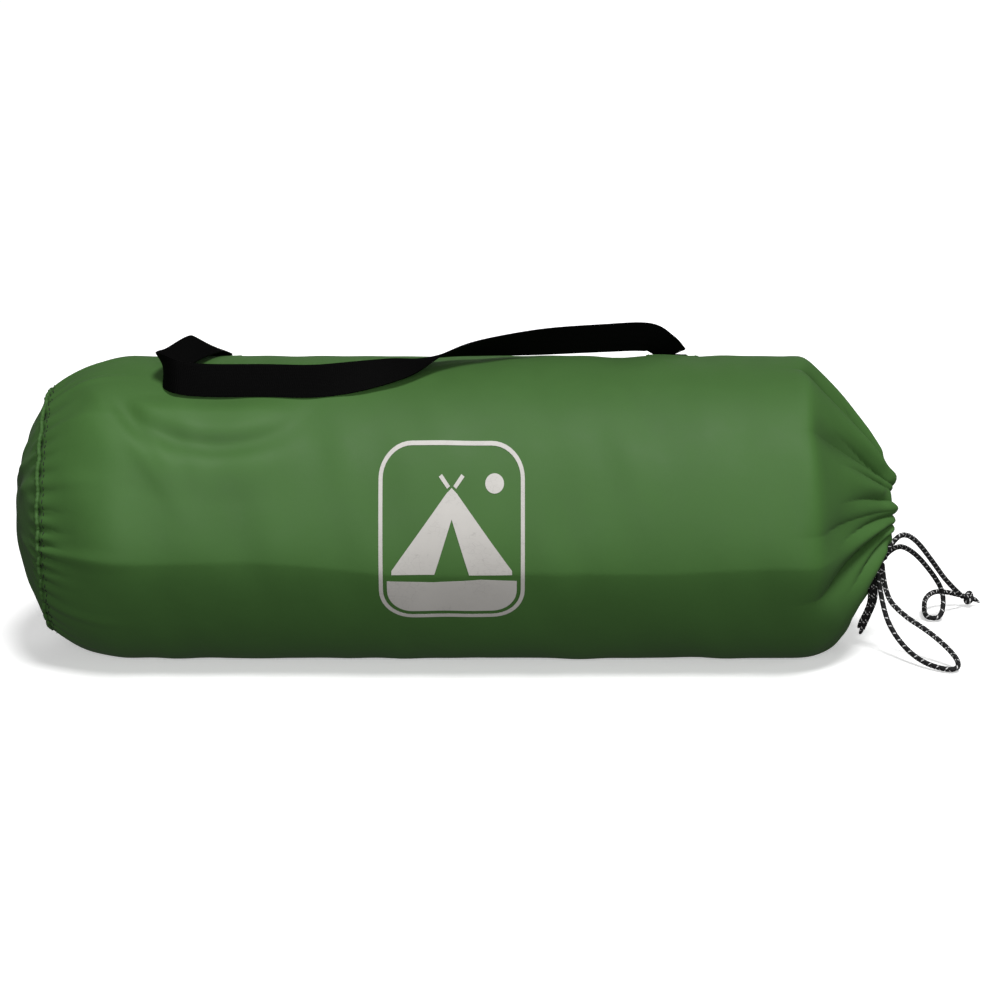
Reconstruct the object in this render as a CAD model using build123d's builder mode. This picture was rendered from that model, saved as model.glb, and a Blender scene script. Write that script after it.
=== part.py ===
"""A tent packed in its carry bag: bag, strap, drawcord, rolled tent, folded poles and pegs.

Frame: +X from the closed base to the gathered mouth, +Y to the rear, +Z up, millimetres.
The origin is the centre of the flat the full bag settles on.
"""
import math
import os

from build123d import *

os.makedirs("parts", exist_ok=True)

# Bag
BAG_R = 119.0          # radius of the full bag
SIT_DEPTH = 11.0       # how far the round bag flattens where it lies
HALF_LEN = 340.0       # half the length, dome tip to mouth lip
WALL = 1.2             # modelled thickness of the coated cloth
BASE_DEPTH = 28.0      # bulge of the round base panel
BASE_R = 92.0          # radius of the base seam
SHOULDER = 67.0        # length of the rounded shoulder beside the base
MOUTH_LEN = 71.0       # length of the gathered part, shoulder to hem
HEM_W = 10.0           # width of the hem that carries the cord
HEM_R = 24.0           # radius of the drawcord inside the hem
HEM_HALF = 4.5         # half thickness of the bunched hem
BIND_R = 2.6           # bead of binding round the base seam
FIT = 0.3              # least gap between pieces that move apart

# Drawcord
CORD_R = 2.0
KNOT_R = 6.8
END_KNOT_R = 5.5
EXIT_TURN = 21.0       # degrees from straight down, towards the front

# Strap
STRAP_W = 25.0
STRAP_T = 1.8
PATCH_T = 0.8
PATCH_LEN = 44.0
STRAP_LEFT = -185.5    # middle of the left sewn end
STRAP_RIGHT = 170.5    # middle of the right sewn end
HINGE_Y = 38.0
SWING_GAP = 1.4        # room the strap needs to fold back beside its sewn ends

# Contents
ROLL_GAP = 2.6         # bag cloth to tent roll
ROLL_LEFT = -262.0
ROLL_RIGHT = 250.0
SPLIT_R = 85.0         # between the flysheet layers and the inner tent layers
CORE_R = 46.0
LAYER_GAP = 0.4
TIE_W = 22.0
TIE_T = 1.0
ROD_R = 4.25
ROD_BORE = 2.2
ROD_HALF = 250.0
FERRULE_R = 4.95
FERRULE_LEN = 60.0
SOCKET_LEN = 30.0
SHOCK_R = 1.4
POLE_BAG_GAP = 2.0
BAG_CLOTH = 0.8        # thickness of the small bags
PEG_R = 2.0
PEG_LEN = 165.0
PEG_COUNT = 8
PEG_HOOK = 7.0

# Derived
AXIS_Z = BAG_R - SIT_DEPTH
BASE_X = -HALF_LEN + BASE_DEPTH
TUBE_LEFT = BASE_X + SHOULDER
HEM_RIGHT = HALF_LEN - 4.0
HEM_LEFT = HEM_RIGHT - HEM_W
MOUTH_X = HEM_LEFT - MOUTH_LEN
HEM_X = (HEM_LEFT + HEM_RIGHT) / 2
AXIS = Axis((0, 0, AXIS_Z), (1, 0, 0))
BIG = 3000.0

dome_r = (BASE_R ** 2 + BASE_DEPTH ** 2) / (2 * BASE_DEPTH)
dome_cx = -HALF_LEN + dome_r
rise = BAG_R - BASE_R
shoulder_r = (SHOULDER ** 2 + rise ** 2) / (2 * rise)
shoulder_cr = BAG_R - shoulder_r


def dome_at(x, wall=0.0):
    """Radius of the base panel at x."""
    r = dome_r - wall
    return math.sqrt(max(r * r - (x - dome_cx) ** 2, 0.0))


def tube_at(x, wall=0.0):
    """Radius of the tube at x, shoulder included."""
    if x >= TUBE_LEFT:
        return BAG_R - wall
    r = shoulder_r - wall
    return shoulder_cr + math.sqrt(r * r - (TUBE_LEFT - x) ** 2)


def pt(x, r):
    """Profile point at distance r above the bag's axis."""
    return (x, AXIS_Z + r)


def on_bag(x, turn, r):
    """Point at x, turned forward from straight up by turn degrees, r from the axis."""
    a = math.radians(turn)
    return Vector(x, -r * math.sin(a), AXIS_Z + r * math.cos(a))


def cut_below(height):
    """Trim the part in hand to what lies above height."""
    with Locations((0, 0, height - BIG / 2)):
        Box(BIG, BIG, BIG, mode=Mode.SUBTRACT)


# ---- closed end -------------------------------------------------------------
dome_mid = BASE_X - 0.35 * BASE_DEPTH
with BuildPart() as base_panel:
    with BuildSketch(Plane.XZ):
        with BuildLine():
            ThreePointArc(pt(-HALF_LEN, 0), pt(dome_mid, dome_at(dome_mid)), pt(BASE_X, BASE_R))
            Line(pt(BASE_X, BASE_R), pt(BASE_X, dome_at(BASE_X, WALL)))
            ThreePointArc(pt(BASE_X, dome_at(BASE_X, WALL)), pt(dome_mid, dome_at(dome_mid, WALL)),
                          pt(-HALF_LEN + WALL, 0))
            Line(pt(-HALF_LEN + WALL, 0), pt(-HALF_LEN, 0))
        make_face()
    revolve(axis=AXIS)
base_panel.part.label = "base_panel"
export_step(base_panel.part, "parts/base_panel.step")

# Inside of the tube, used to hollow it
shoulder_mid = (BASE_X + TUBE_LEFT) / 2
with BuildPart() as tube_cavity:
    with BuildSketch(Plane.XZ):
        with BuildLine():
            start = BASE_X - 1.0
            Line(pt(start, 0), pt(start, tube_at(start, WALL)))
            ThreePointArc(pt(start, tube_at(start, WALL)), pt(shoulder_mid, tube_at(shoulder_mid, WALL)),
                          pt(TUBE_LEFT, BAG_R - WALL))
            Line(pt(TUBE_LEFT, BAG_R - WALL), pt(MOUTH_X + 1, BAG_R - WALL))
            Line(pt(MOUTH_X + 1, BAG_R - WALL), pt(MOUTH_X + 1, 0))
            Line(pt(MOUTH_X + 1, 0), pt(start, 0))
        make_face()
    revolve(axis=AXIS)
    cut_below(WALL)

with BuildPart() as bag_tube:
    with BuildSketch(Plane.XZ):
        with BuildLine():
            Line(pt(BASE_X, 0), pt(BASE_X, BASE_R))
            ThreePointArc(pt(BASE_X, BASE_R), pt(shoulder_mid, tube_at(shoulder_mid)), pt(TUBE_LEFT, BAG_R))
            Line(pt(TUBE_LEFT, BAG_R), pt(MOUTH_X, BAG_R))
            Line(pt(MOUTH_X, BAG_R), pt(MOUTH_X, 0))
            Line(pt(MOUTH_X, 0), pt(BASE_X, 0))
        make_face()
    revolve(axis=AXIS)
    cut_below(0)
    add(tube_cavity.part, mode=Mode.SUBTRACT)
bag_tube.part.label = "bag_tube"
export_step(bag_tube.part, "parts/bag_tube.step")

# Binding bead: a ring round the seam with the bag's own profile cut away
with BuildPart() as base_seam_binding:
    with BuildSketch(Plane.XZ):
        with Locations(pt(BASE_X, BASE_R)):
            Circle(BIND_R)
        with BuildLine():
            Line(pt(-HALF_LEN, 0), pt(TUBE_LEFT, 0))
            Line(pt(TUBE_LEFT, 0), pt(TUBE_LEFT, BAG_R))
            ThreePointArc(pt(TUBE_LEFT, BAG_R), pt(shoulder_mid, tube_at(shoulder_mid)), pt(BASE_X, BASE_R))
            ThreePointArc(pt(BASE_X, BASE_R), pt(dome_mid, dome_at(dome_mid)), pt(-HALF_LEN, 0))
        make_face(mode=Mode.SUBTRACT)
    revolve(axis=AXIS)
base_seam_binding.part.label = "base_seam_binding"
export_step(base_seam_binding.part, "parts/base_seam_binding.step")

# Long seam of the tube: a flat felled strip along the rear
SEAM_W = 9.0
SEAM_T = 0.7
SEAM_TURN = -118.0
seam_half = math.degrees(SEAM_W / 2 / BAG_R)
with BuildPart() as tube_seam:
    with BuildSketch(Plane.YZ.offset(TUBE_LEFT)):
        corners = []
        for side, r in ((-1, BAG_R), (1, BAG_R), (1, BAG_R + SEAM_T), (-1, BAG_R + SEAM_T)):
            p = on_bag(0, SEAM_TURN + side * seam_half, r)
            corners.append((p.Y, p.Z))
        mid_in = on_bag(0, SEAM_TURN, BAG_R)
        mid_out = on_bag(0, SEAM_TURN, BAG_R + SEAM_T)
        with BuildLine():
            ThreePointArc(corners[0], (mid_in.Y, mid_in.Z), corners[1])
            Line(corners[1], corners[2])
            ThreePointArc(corners[2], (mid_out.Y, mid_out.Z), corners[3])
            Line(corners[3], corners[0])
        make_face()
    extrude(amount=MOUTH_X - TUBE_LEFT)
tube_seam.part.label = "tube_seam"
export_step(tube_seam.part, "parts/tube_seam.step")

# ---- gathered mouth ---------------------------------------------------------
corner_x = MOUTH_X + 0.23 * MOUTH_LEN
fold_x = MOUTH_X + 0.89 * MOUTH_LEN
mouth_outer = [(MOUTH_X, BAG_R), (corner_x, BAG_R - 3.5), (fold_x, 0.47 * BAG_R), (HEM_LEFT, HEM_R + 3.0)]
mouth_inner = [(MOUTH_X, BAG_R - WALL), (corner_x - 0.7, BAG_R - 3.5 - WALL)]
mouth_inner += [(fold_x - 1.2, 0.47 * BAG_R - 0.6), (HEM_LEFT, HEM_R + 1.6)]
with BuildPart() as mouth_cavity:
    with BuildSketch(Plane.XZ):
        with BuildLine():
            outline = [pt(MOUTH_X - 1, 0), pt(MOUTH_X - 1, BAG_R - WALL)]
            outline += [pt(x, r) for x, r in mouth_inner]
            outline += [pt(HEM_LEFT + 1, HEM_R + 1.2), pt(HEM_LEFT + 1, 0)]
            Polyline(*outline, close=True)
        make_face()
    revolve(axis=AXIS)
    cut_below(WALL)

with BuildPart() as mouth_gather:
    with BuildSketch(Plane.XZ):
        with BuildLine():
            outline = [pt(MOUTH_X, 0)] + [pt(x, r) for x, r in mouth_outer] + [pt(HEM_LEFT, 0)]
            Polyline(*outline, close=True)
        make_face()
    revolve(axis=AXIS)
    cut_below(0)
    add(mouth_cavity.part, mode=Mode.SUBTRACT)
mouth_gather.part.label = "mouth_gather"
export_step(mouth_gather.part, "parts/mouth_gather.step")

exit_a = math.radians(EXIT_TURN)
exit_dir = Vector(0, -math.sin(exit_a), -math.cos(exit_a))
ring_centre = Vector(HEM_X, 0, AXIS_Z)
channel_r = CORD_R + 0.6
exit_plane = Plane(origin=ring_centre + exit_dir * HEM_R, x_dir=(1, 0, 0), z_dir=exit_dir)
with BuildPart() as hem_casing:
    with BuildSketch(Plane.XZ):
        with Locations(pt(HEM_X, HEM_R)):
            RectangleRounded(HEM_W, 2 * HEM_HALF, 3.0)
            Circle(channel_r, mode=Mode.SUBTRACT)
    revolve(axis=AXIS)
    with BuildSketch(exit_plane):
        Circle(channel_r)
    extrude(amount=HEM_HALF + 2, mode=Mode.SUBTRACT)
hem_casing.part.label = "hem_casing"
export_step(hem_casing.part, "parts/hem_casing.step")

knot_at = ring_centre + exit_dir * (HEM_R + HEM_HALF + KNOT_R + 0.4)
with BuildPart() as drawcord_ring:
    with BuildSketch(Plane.XZ):
        with Locations(pt(HEM_X, HEM_R)):
            Circle(CORD_R)
    revolve(axis=AXIS)
    with BuildSketch(exit_plane):
        Circle(CORD_R)
    extrude(amount=HEM_HALF + 2.4)
drawcord_ring.part.label = "drawcord_ring"
export_step(drawcord_ring.part, "parts/drawcord_ring.step")

with BuildPart() as drawcord_knot:
    with Locations(knot_at):
        Sphere(KNOT_R)
drawcord_knot.part.label = "drawcord_knot"
export_step(drawcord_knot.part, "parts/drawcord_knot.step")

# Routes are given from the knot: right, back, and height for a knot 72.4 above the lying cord
LIFT = (knot_at.Z - CORD_R) / 72.4


def from_knot(dx, dy, height):
    """Place a route point; the height scales with the knot's height over the floor."""
    return Vector(knot_at.X + dx, knot_at.Y + dy, CORD_R + 0.1 + (height - 2.1) * LIFT)


def route_radii(name, pts):
    """Bend radii that leave a straight piece between any two arcs, printed for the record."""
    radii = []
    for i in range(1, len(pts) - 1):
        a = pts[i] - pts[i - 1]
        b = pts[i + 1] - pts[i]
        half = math.radians(a.get_angle(b)) / 2
        shorter = min(a.length, b.length)
        radii.append(min(0.45 * shorter / math.tan(half), 60.0))
    print(name, "bend radii", [round(r, 1) for r in radii])
    return radii


def tube_along(name, pts, r):
    """Round cord along straight runs and tangent arcs, in the part being built."""
    radii = route_radii(name, pts)
    with BuildLine() as path:
        FilletPolyline(*pts, radius=radii)
    route = path.wires()[0]
    with BuildSketch(route ^ 0) as section:
        Circle(r)
    sweep(sections=section.sketch, path=route)
    length = route.length
    print(name, "length", round(length, 1), "ideal volume", round(length * math.pi * r * r, 1))


arc_route = [(6.4, 2.4, 75.5), (12.0, 5.0, 84.5), (21.0, 12.5, 88.0), (33.0, 29.0, 78.0), (50.0, 59.0, 53.0),
             (68.0, 92.0, 25.0), (83.0, 110.0, 9.0)]
slack_route = [(4.6, 5.0, 70.5), (14.0, 13.0, 79.0), (31.0, 36.0, 68.0), (51.0, 68.0, 41.5),
               (64.0, 86.0, 19.5), (60.5, 69.0, 3.2), (49.5, 70.0, 2.6), (47.5, 82.0, 4.5), (50.0, 98.0, 13.0),
               (64.0, 114.0, 14.5), (82.0, 117.0, 8.5)]
end_knot_rel = (88.0, 114.5, 7.5)
loop_route = [(2.5, -3.4, 68.6), (4.5, -5.4, 44.0), (17.0, -17.4, 31.0), (39.0, -38.4, 21.0),
              (55.0, -58.4, 9.0), (56.0, -70.4, 3.2), (46.0, -72.4, 2.3), (27.0, -54.4, 4.0),
              (11.0, -28.4, 16.0), (2.0, -12.4, 36.0), (-2.0, -4.6, 69.0)]
tail_long_route = [(-3.0, 3.4, 69.2), (-2.5, 3.1, 50.0), (-1.0, 1.6, 39.0), (-5.0, 2.6, 27.0), (-12.5, 5.6, 8.0)]
tail_short_route = [(-5.6, -0.6, 70.6), (-6.5, -2.4, 50.0), (-5.5, -3.4, 38.0), (-9.0, -1.9, 27.0),
                    (-14.5, 0.6, 14.5)]

with BuildPart() as cord_arc:
    tube_along("cord_arc", [from_knot(*p) for p in arc_route], CORD_R)
cord_arc.part.label = "cord_arc"
export_step(cord_arc.part, "parts/cord_arc.step")
print("cord_arc volume", round(cord_arc.part.volume, 1))

with BuildPart() as cord_slack:
    tube_along("cord_slack", [from_knot(*p) for p in slack_route], CORD_R)
cord_slack.part.label = "cord_slack"
export_step(cord_slack.part, "parts/cord_slack.step")
print("cord_slack volume", round(cord_slack.part.volume, 1))

with BuildPart() as end_knot:
    with Locations(from_knot(*end_knot_rel)):
        Sphere(END_KNOT_R)
end_knot.part.label = "end_knot"
export_step(end_knot.part, "parts/end_knot.step")

with BuildPart() as cord_loop:
    tube_along("cord_loop", [from_knot(*p) for p in loop_route], CORD_R)
cord_loop.part.label = "cord_loop"
export_step(cord_loop.part, "parts/cord_loop.step")
print("cord_loop volume", round(cord_loop.part.volume, 1))

with BuildPart() as cord_tail_long:
    tube_along("cord_tail_long", [from_knot(*p) for p in tail_long_route], CORD_R)
cord_tail_long.part.label = "cord_tail_long"
export_step(cord_tail_long.part, "parts/cord_tail_long.step")
print("cord_tail_long volume", round(cord_tail_long.part.volume, 1))

with BuildPart() as cord_tail_short:
    tube_along("cord_tail_short", [from_knot(*p) for p in tail_short_route], CORD_R)
cord_tail_short.part.label = "cord_tail_short"
export_step(cord_tail_short.part, "parts/cord_tail_short.step")
print("cord_tail_short volume", round(cord_tail_short.part.volume, 1))

# ---- print on the front -----------------------------------------------------
PRINT_W = 112.0
PRINT_T = 0.3
PRINT_GAP = 0.05
print_top = 0.65 * BAG_R
print_low = -0.49 * BAG_R
with BuildPart() as print_badge:
    with BuildSketch(Plane.YZ.offset(-PRINT_W)):
        with Locations((0, AXIS_Z)):
            Circle(BAG_R + PRINT_GAP + PRINT_T)
            Circle(BAG_R + PRINT_GAP, mode=Mode.SUBTRACT)
    extrude(amount=2 * PRINT_W)
    with BuildSketch(Plane.XZ):
        with Locations((0, AXIS_Z + (print_top + print_low) / 2)):
            RectangleRounded(PRINT_W, print_top - print_low, 26.0)
    extrude(amount=BAG_R + 5, mode=Mode.INTERSECT)
print_badge.part.label = "print_badge"
export_step(print_badge.part, "parts/print_badge.step")

# ---- strap ------------------------------------------------------------------
PATCH_R = BAG_R + PATCH_T
HINGE_R = PATCH_R + FIT + STRAP_T / 2
hinge_turn = -math.degrees(math.asin(HINGE_Y / HINGE_R))
sewn_start = hinge_turn - math.degrees((STRAP_T / 2 + FIT + SWING_GAP) / HINGE_R)
sewn_end = sewn_start - math.degrees(30.0 / HINGE_R)
patch_front = hinge_turn + math.degrees(8.0 / HINGE_R)
patch_back = patch_front - math.degrees(PATCH_LEN / HINGE_R)


def curved_strip(x_mid, width, turn_a, turn_b, r_in, r_out):
    """Add a piece of a ring lying on the bag between two turns."""
    mid = (turn_a + turn_b) / 2
    a = on_bag(0, turn_a, r_in)
    b = on_bag(0, mid, r_in)
    c = on_bag(0, turn_b, r_in)
    d = on_bag(0, turn_b, r_out)
    e = on_bag(0, mid, r_out)
    f = on_bag(0, turn_a, r_out)
    with BuildSketch(Plane.YZ.offset(x_mid - width / 2)) as section:
        with BuildLine():
            ThreePointArc((a.Y, a.Z), (b.Y, b.Z), (c.Y, c.Z))
            Line((c.Y, c.Z), (d.Y, d.Z))
            ThreePointArc((d.Y, d.Z), (e.Y, e.Z), (f.Y, f.Z))
            Line((f.Y, f.Z), (a.Y, a.Z))
        make_face()
    extrude(to_extrude=section.sketch, amount=width)


with BuildPart() as strap_patches:
    for x_mid in (STRAP_LEFT, STRAP_RIGHT):
        curved_strip(x_mid, STRAP_W + 16, patch_front, patch_back, BAG_R, PATCH_R)
strap_patches.part.label = "strap_patches"
export_step(strap_patches.part, "parts/strap_patches.step")

with BuildPart() as strap_ends:
    for x_mid in (STRAP_LEFT, STRAP_RIGHT):
        curved_strip(x_mid, STRAP_W, sewn_start, sewn_end, PATCH_R, PATCH_R + STRAP_T)
strap_ends.part.label = "strap_ends"
export_step(strap_ends.part, "parts/strap_ends.step")

# Stitches: short raised bars in a box with a cross inside, on each sewn end
STITCH_W = 0.9
STITCH_L = 2.6
STITCH_T = 0.5
stitch_top = PATCH_R + STRAP_T
box_half = STRAP_W / 2 - 3.0
box_a = sewn_start - math.degrees(3.0 / HINGE_R)
box_b = sewn_end + math.degrees(3.0 / HINGE_R)
stitches = []
for k in range(5):
    t = (k + 0.5) / 5
    turn = box_a + (box_b - box_a) * t
    across = -box_half + 2 * box_half * t
    stitches.append((-box_half, turn, 90.0))
    stitches.append((box_half, turn, 90.0))
    stitches.append((across, box_a, 0.0))
    stitches.append((across, box_b, 0.0))
with BuildPart() as strap_stitching:
    for x_mid in (STRAP_LEFT, STRAP_RIGHT):
        for dx, turn, spin in stitches:
            base = on_bag(x_mid + dx, turn, stitch_top)
            out = on_bag(0, turn, 1.0) - Vector(0, 0, AXIS_Z)
            with BuildSketch(Plane(origin=base, x_dir=(1, 0, 0), z_dir=out)):
                Rectangle(STITCH_L, STITCH_W, rotation=spin)
            extrude(amount=STITCH_T)
strap_stitching.part.label = "strap_stitching"
export_step(strap_stitching.part, "parts/strap_stitching.step")

# The strap itself: upper and lower edge at each station as x, turn from straight up, height off the bag
stations = [
    (-198.0, None, None, -173.0, None, None),
    (-205.0, -5.1, 16.5, -184.0, -3.7, 4.3),
    (-225.0, 10.7, 15.3, -206.0, 16.0, 7.9),
    (-227.0, 18.8, 20.9, -225.0, 25.3, 3.2),
    (-214.0, 24.8, 23.9, -214.0, 31.0, 5.6),
    (-186.4, 24.6, 20.5, -186.4, 31.8, 3.2),
    (-143.5, 23.9, 18.9, -143.5, 31.5, 2.6),
    (-96.7, 23.5, 16.3, -96.7, 30.5, 2.6),
    (-46.0, 14.8, 10.3, -46.0, 24.6, 6.2),
    (-11.0, 3.7, 4.5, -11.0, 13.9, 13.2),
    (20.0, 0.0, 3.6, 20.0, 8.2, 20.4),
    (67.0, -4.7, 3.6, 67.0, 0.0, 22.3),
    (114.0, -9.4, 4.0, 114.0, -4.8, 24.5),
    (149.0, -13.9, 4.8, 149.0, -8.8, 24.9),
    (157.0, -16.3, 4.0, 168.0, -11.3, 14.4),
    (158.0, None, None, 183.0, None, None),
]
SPAN_NOW = 356.0
WIDTH_NOW = 25.0
span_scale = (STRAP_RIGHT - STRAP_LEFT) / SPAN_NOW
span_mid = (STRAP_RIGHT + STRAP_LEFT) / 2
strap_lift = max(0.0, (STRAP_W - WIDTH_NOW) / 2)


def strap_edge(x, turn, gap, side):
    """Edge point of the strap; the sewn ends sit on the hinge line."""
    if turn is None:
        middle = STRAP_LEFT if x < 0 else STRAP_RIGHT
        return on_bag(middle + side * STRAP_W / 2, hinge_turn, HINGE_R)
    return on_bag(span_mid + (x + 7.5) * span_scale, turn, BAG_R + gap + strap_lift)


edges = []
for xu, tu, gu, xl, tl, gl in stations:
    edges.append((strap_edge(xu, tu, gu, -1), strap_edge(xl, tl, gl, 1)))


def glide(p0, p1, p2, p3, t):
    """Smooth blend through p1 and p2."""
    return (p1 * 2 + (p2 - p0) * t + (p0 * 2 - p1 * 5 + p2 * 4 - p3) * t * t
            + (p1 * 3 - p0 - p2 * 3 + p3) * t ** 3) * 0.5


sections = []
steps = 3
for i in range(len(edges) - 1):
    before = edges[max(i - 1, 0)]
    after = edges[min(i + 2, len(edges) - 1)]
    for k in range(steps):
        upper = glide(before[0], edges[i][0], edges[i + 1][0], after[0], k / steps)
        lower = glide(before[1], edges[i][1], edges[i + 1][1], after[1], k / steps)
        sections.append(((upper + lower) * 0.5, (lower - upper).normalized()))
sections.append(((edges[-1][0] + edges[-1][1]) * 0.5, (edges[-1][1] - edges[-1][0]).normalized()))

strap_planes = []
for i, (mid, across) in enumerate(sections):
    ahead = sections[min(i + 1, len(sections) - 1)][0]
    behind = sections[max(i - 1, 0)][0]
    along = (ahead - behind).normalized()
    along = (along - across * along.dot(across)).normalized()
    strap_planes.append(Plane(origin=mid, x_dir=across, z_dir=along))
strap_length = sum((sections[i + 1][0] - sections[i][0]).length for i in range(len(sections) - 1))
print("carry_strap free length", round(strap_length, 1))

with BuildPart() as carry_strap:
    for plane in strap_planes:
        with BuildSketch(plane):
            Rectangle(STRAP_W, STRAP_T)
    loft(ruled=True)
carry_strap.part.label = "carry_strap"
export_step(carry_strap.part, "parts/carry_strap.step")
print("carry_strap volume", round(carry_strap.part.volume, 1), "ideal", round(strap_length * STRAP_W * STRAP_T, 1))

# ---- sizes of the two small bags, which set the core of the roll ------------
RING_OUT = 18.5 * FERRULE_R / 4.95
RING_IN = 7.6 * FERRULE_R / 4.95
pole_bag_in = RING_OUT + FERRULE_R + POLE_BAG_GAP
pole_bag_out = pole_bag_in + BAG_CLOTH
peg_ring = max(6.2, (PEG_R * 2 + 0.7) / (2 * math.sin(math.pi / PEG_COUNT)))
peg_bag_in = peg_ring + PEG_HOOK + PEG_R + 0.6
peg_bag_out = peg_bag_in + BAG_CLOTH
core_r = max(CORE_R, pole_bag_out + peg_bag_out + FIT + 2.5)

# ---- rolled tent ------------------------------------------------------------
roll_r = BAG_R - WALL - ROLL_GAP
roll_floor = WALL + ROLL_GAP - 0.6


def roll_ring(r_in, r_out, x_a, x_b, round_r):
    """Add a ring about the bag's axis with rounded outer ends."""
    with BuildSketch(Plane.XZ) as section:
        with BuildLine():
            Line(pt(x_a, r_in), pt(x_a, r_out - round_r))
            RadiusArc(pt(x_a, r_out - round_r), pt(x_a + round_r, r_out), round_r)
            Line(pt(x_a + round_r, r_out), pt(x_b - round_r, r_out))
            RadiusArc(pt(x_b - round_r, r_out), pt(x_b, r_out - round_r), round_r)
            Line(pt(x_b, r_out - round_r), pt(x_b, r_in))
            Line(pt(x_b, r_in), pt(x_a, r_in))
        make_face()
    revolve(profiles=section.sketch, axis=AXIS)


with BuildPart() as flysheet_roll:
    roll_ring(SPLIT_R, roll_r, ROLL_LEFT, ROLL_RIGHT, 12.0)
    cut_below(roll_floor)
flysheet_roll.part.label = "flysheet_roll"
export_step(flysheet_roll.part, "parts/flysheet_roll.step")

with BuildPart() as inner_tent_roll:
    roll_ring(core_r, SPLIT_R - LAYER_GAP, ROLL_LEFT - 4, ROLL_RIGHT + 4, 8.0)
inner_tent_roll.part.label = "inner_tent_roll"
export_step(inner_tent_roll.part, "parts/inner_tent_roll.step")

with BuildPart() as roll_ties:
    for x_mid in (-135.0, 120.0):
        with BuildSketch(Plane.YZ.offset(x_mid - TIE_W / 2)):
            with Locations((0, AXIS_Z)):
                Circle(roll_r + TIE_T)
            with Locations((0, roll_floor - TIE_T - BAG_R)):
                Rectangle(2 * BAG_R, 2 * BAG_R, mode=Mode.SUBTRACT)
            with BuildLine():
                low = roll_floor
                reach = math.sqrt(roll_r ** 2 - (AXIS_Z - low) ** 2)
                ThreePointArc((-reach, low), (0, AXIS_Z + roll_r), (reach, low))
                Line((reach, low), (-reach, low))
            make_face(mode=Mode.SUBTRACT)
        extrude(amount=TIE_W)
roll_ties.part.label = "roll_ties"
export_step(roll_ties.part, "parts/roll_ties.step")

# ---- poles ------------------------------------------------------------------
POLE_Y = -(core_r - FIT - 2.0 - pole_bag_out)
POLE_BAG_HALF = ROD_HALF + SOCKET_LEN + 13.0
U_TURN = 6.0


def rod_place(ring, angle):
    """Centre of a rod in the bundle, as y and z."""
    a = math.radians(angle)
    return (POLE_Y + ring * math.cos(a), AXIS_Z + ring * math.sin(a))


upper_rods = [(RING_IN, 135), (RING_IN, 45), (RING_OUT, 18), (RING_OUT, 54), (RING_OUT, 90), (RING_OUT, 126),
              (RING_OUT, 162)]
bundles = {"a": [rod_place(ring, angle) for ring, angle in upper_rods],
           "b": [rod_place(ring, angle + 180) for ring, angle in upper_rods]}

with BuildPart() as pole_bag:
    with BuildSketch(Plane.YZ.offset(-POLE_BAG_HALF)):
        with Locations((POLE_Y, AXIS_Z)):
            Circle(pole_bag_out)
    extrude(amount=2 * POLE_BAG_HALF)
    with BuildSketch(Plane.YZ.offset(-POLE_BAG_HALF + BAG_CLOTH)):
        with Locations((POLE_Y, AXIS_Z)):
            Circle(pole_bag_in)
    extrude(amount=2 * (POLE_BAG_HALF - BAG_CLOTH), mode=Mode.SUBTRACT)
pole_bag.part.label = "pole_bag"
export_step(pole_bag.part, "parts/pole_bag.step")

for tag, rods in bundles.items():
    with BuildPart() as pole_segments:
        with BuildSketch(Plane.YZ.offset(-ROD_HALF)):
            with Locations(*rods):
                Circle(ROD_R)
                Circle(ROD_BORE, mode=Mode.SUBTRACT)
        extrude(amount=2 * ROD_HALF)
    pole_segments.part.label = "pole_segments_" + tag
    export_step(pole_segments.part, "parts/pole_segments_" + tag + ".step")

    with BuildPart() as ferrules:
        for i in range(len(rods) - 1):
            side = 1 if i % 2 == 0 else -1
            tip = side * (ROD_HALF + SOCKET_LEN)
            low_x = min(tip, tip - side * FERRULE_LEN)
            with BuildSketch(Plane.YZ.offset(low_x)):
                with Locations(rods[i]):
                    Circle(FERRULE_R)
                    Circle(ROD_R, mode=Mode.SUBTRACT)
            extrude(amount=FERRULE_LEN)
    ferrules.part.label = "ferrules_" + tag
    export_step(ferrules.part, "parts/ferrules_" + tag + ".step")

    # Steel end caps with a pin, on the two free ends of the folded pole
    with BuildPart() as pole_tips:
        for i, side in ((0, -1), (len(rods) - 1, 1)):
            face = Plane(origin=(side * ROD_HALF, rods[i][0], rods[i][1]), x_dir=(0, 1, 0), z_dir=(side, 0, 0))
            with BuildSketch(face):
                Circle(ROD_R)
            extrude(amount=4.0)
            with BuildSketch(face.offset(4.0)):
                Circle(ROD_R * 0.55)
            extrude(amount=14.0)
    pole_tips.part.label = "pole_tips_" + tag
    export_step(pole_tips.part, "parts/pole_tips_" + tag + ".step")

    # Elastic cord through every segment, turning round between neighbours
    cord_pts = [Vector(-ROD_HALF, rods[0][0], rods[0][1])]
    for i in range(len(rods) - 1):
        side = 1 if i % 2 == 0 else -1
        turn_x = side * (ROD_HALF + SOCKET_LEN + U_TURN)
        cord_pts.append(Vector(turn_x, rods[i][0], rods[i][1]))
        cord_pts.append(Vector(turn_x, rods[i + 1][0], rods[i + 1][1]))
    cord_pts.append(Vector(ROD_HALF, rods[-1][0], rods[-1][1]))
    with BuildPart() as shock_cord:
        tube_along("shock_cord_" + tag, cord_pts, SHOCK_R)
    shock_cord.part.label = "shock_cord_" + tag
    export_step(shock_cord.part, "parts/shock_cord_" + tag + ".step")

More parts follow.
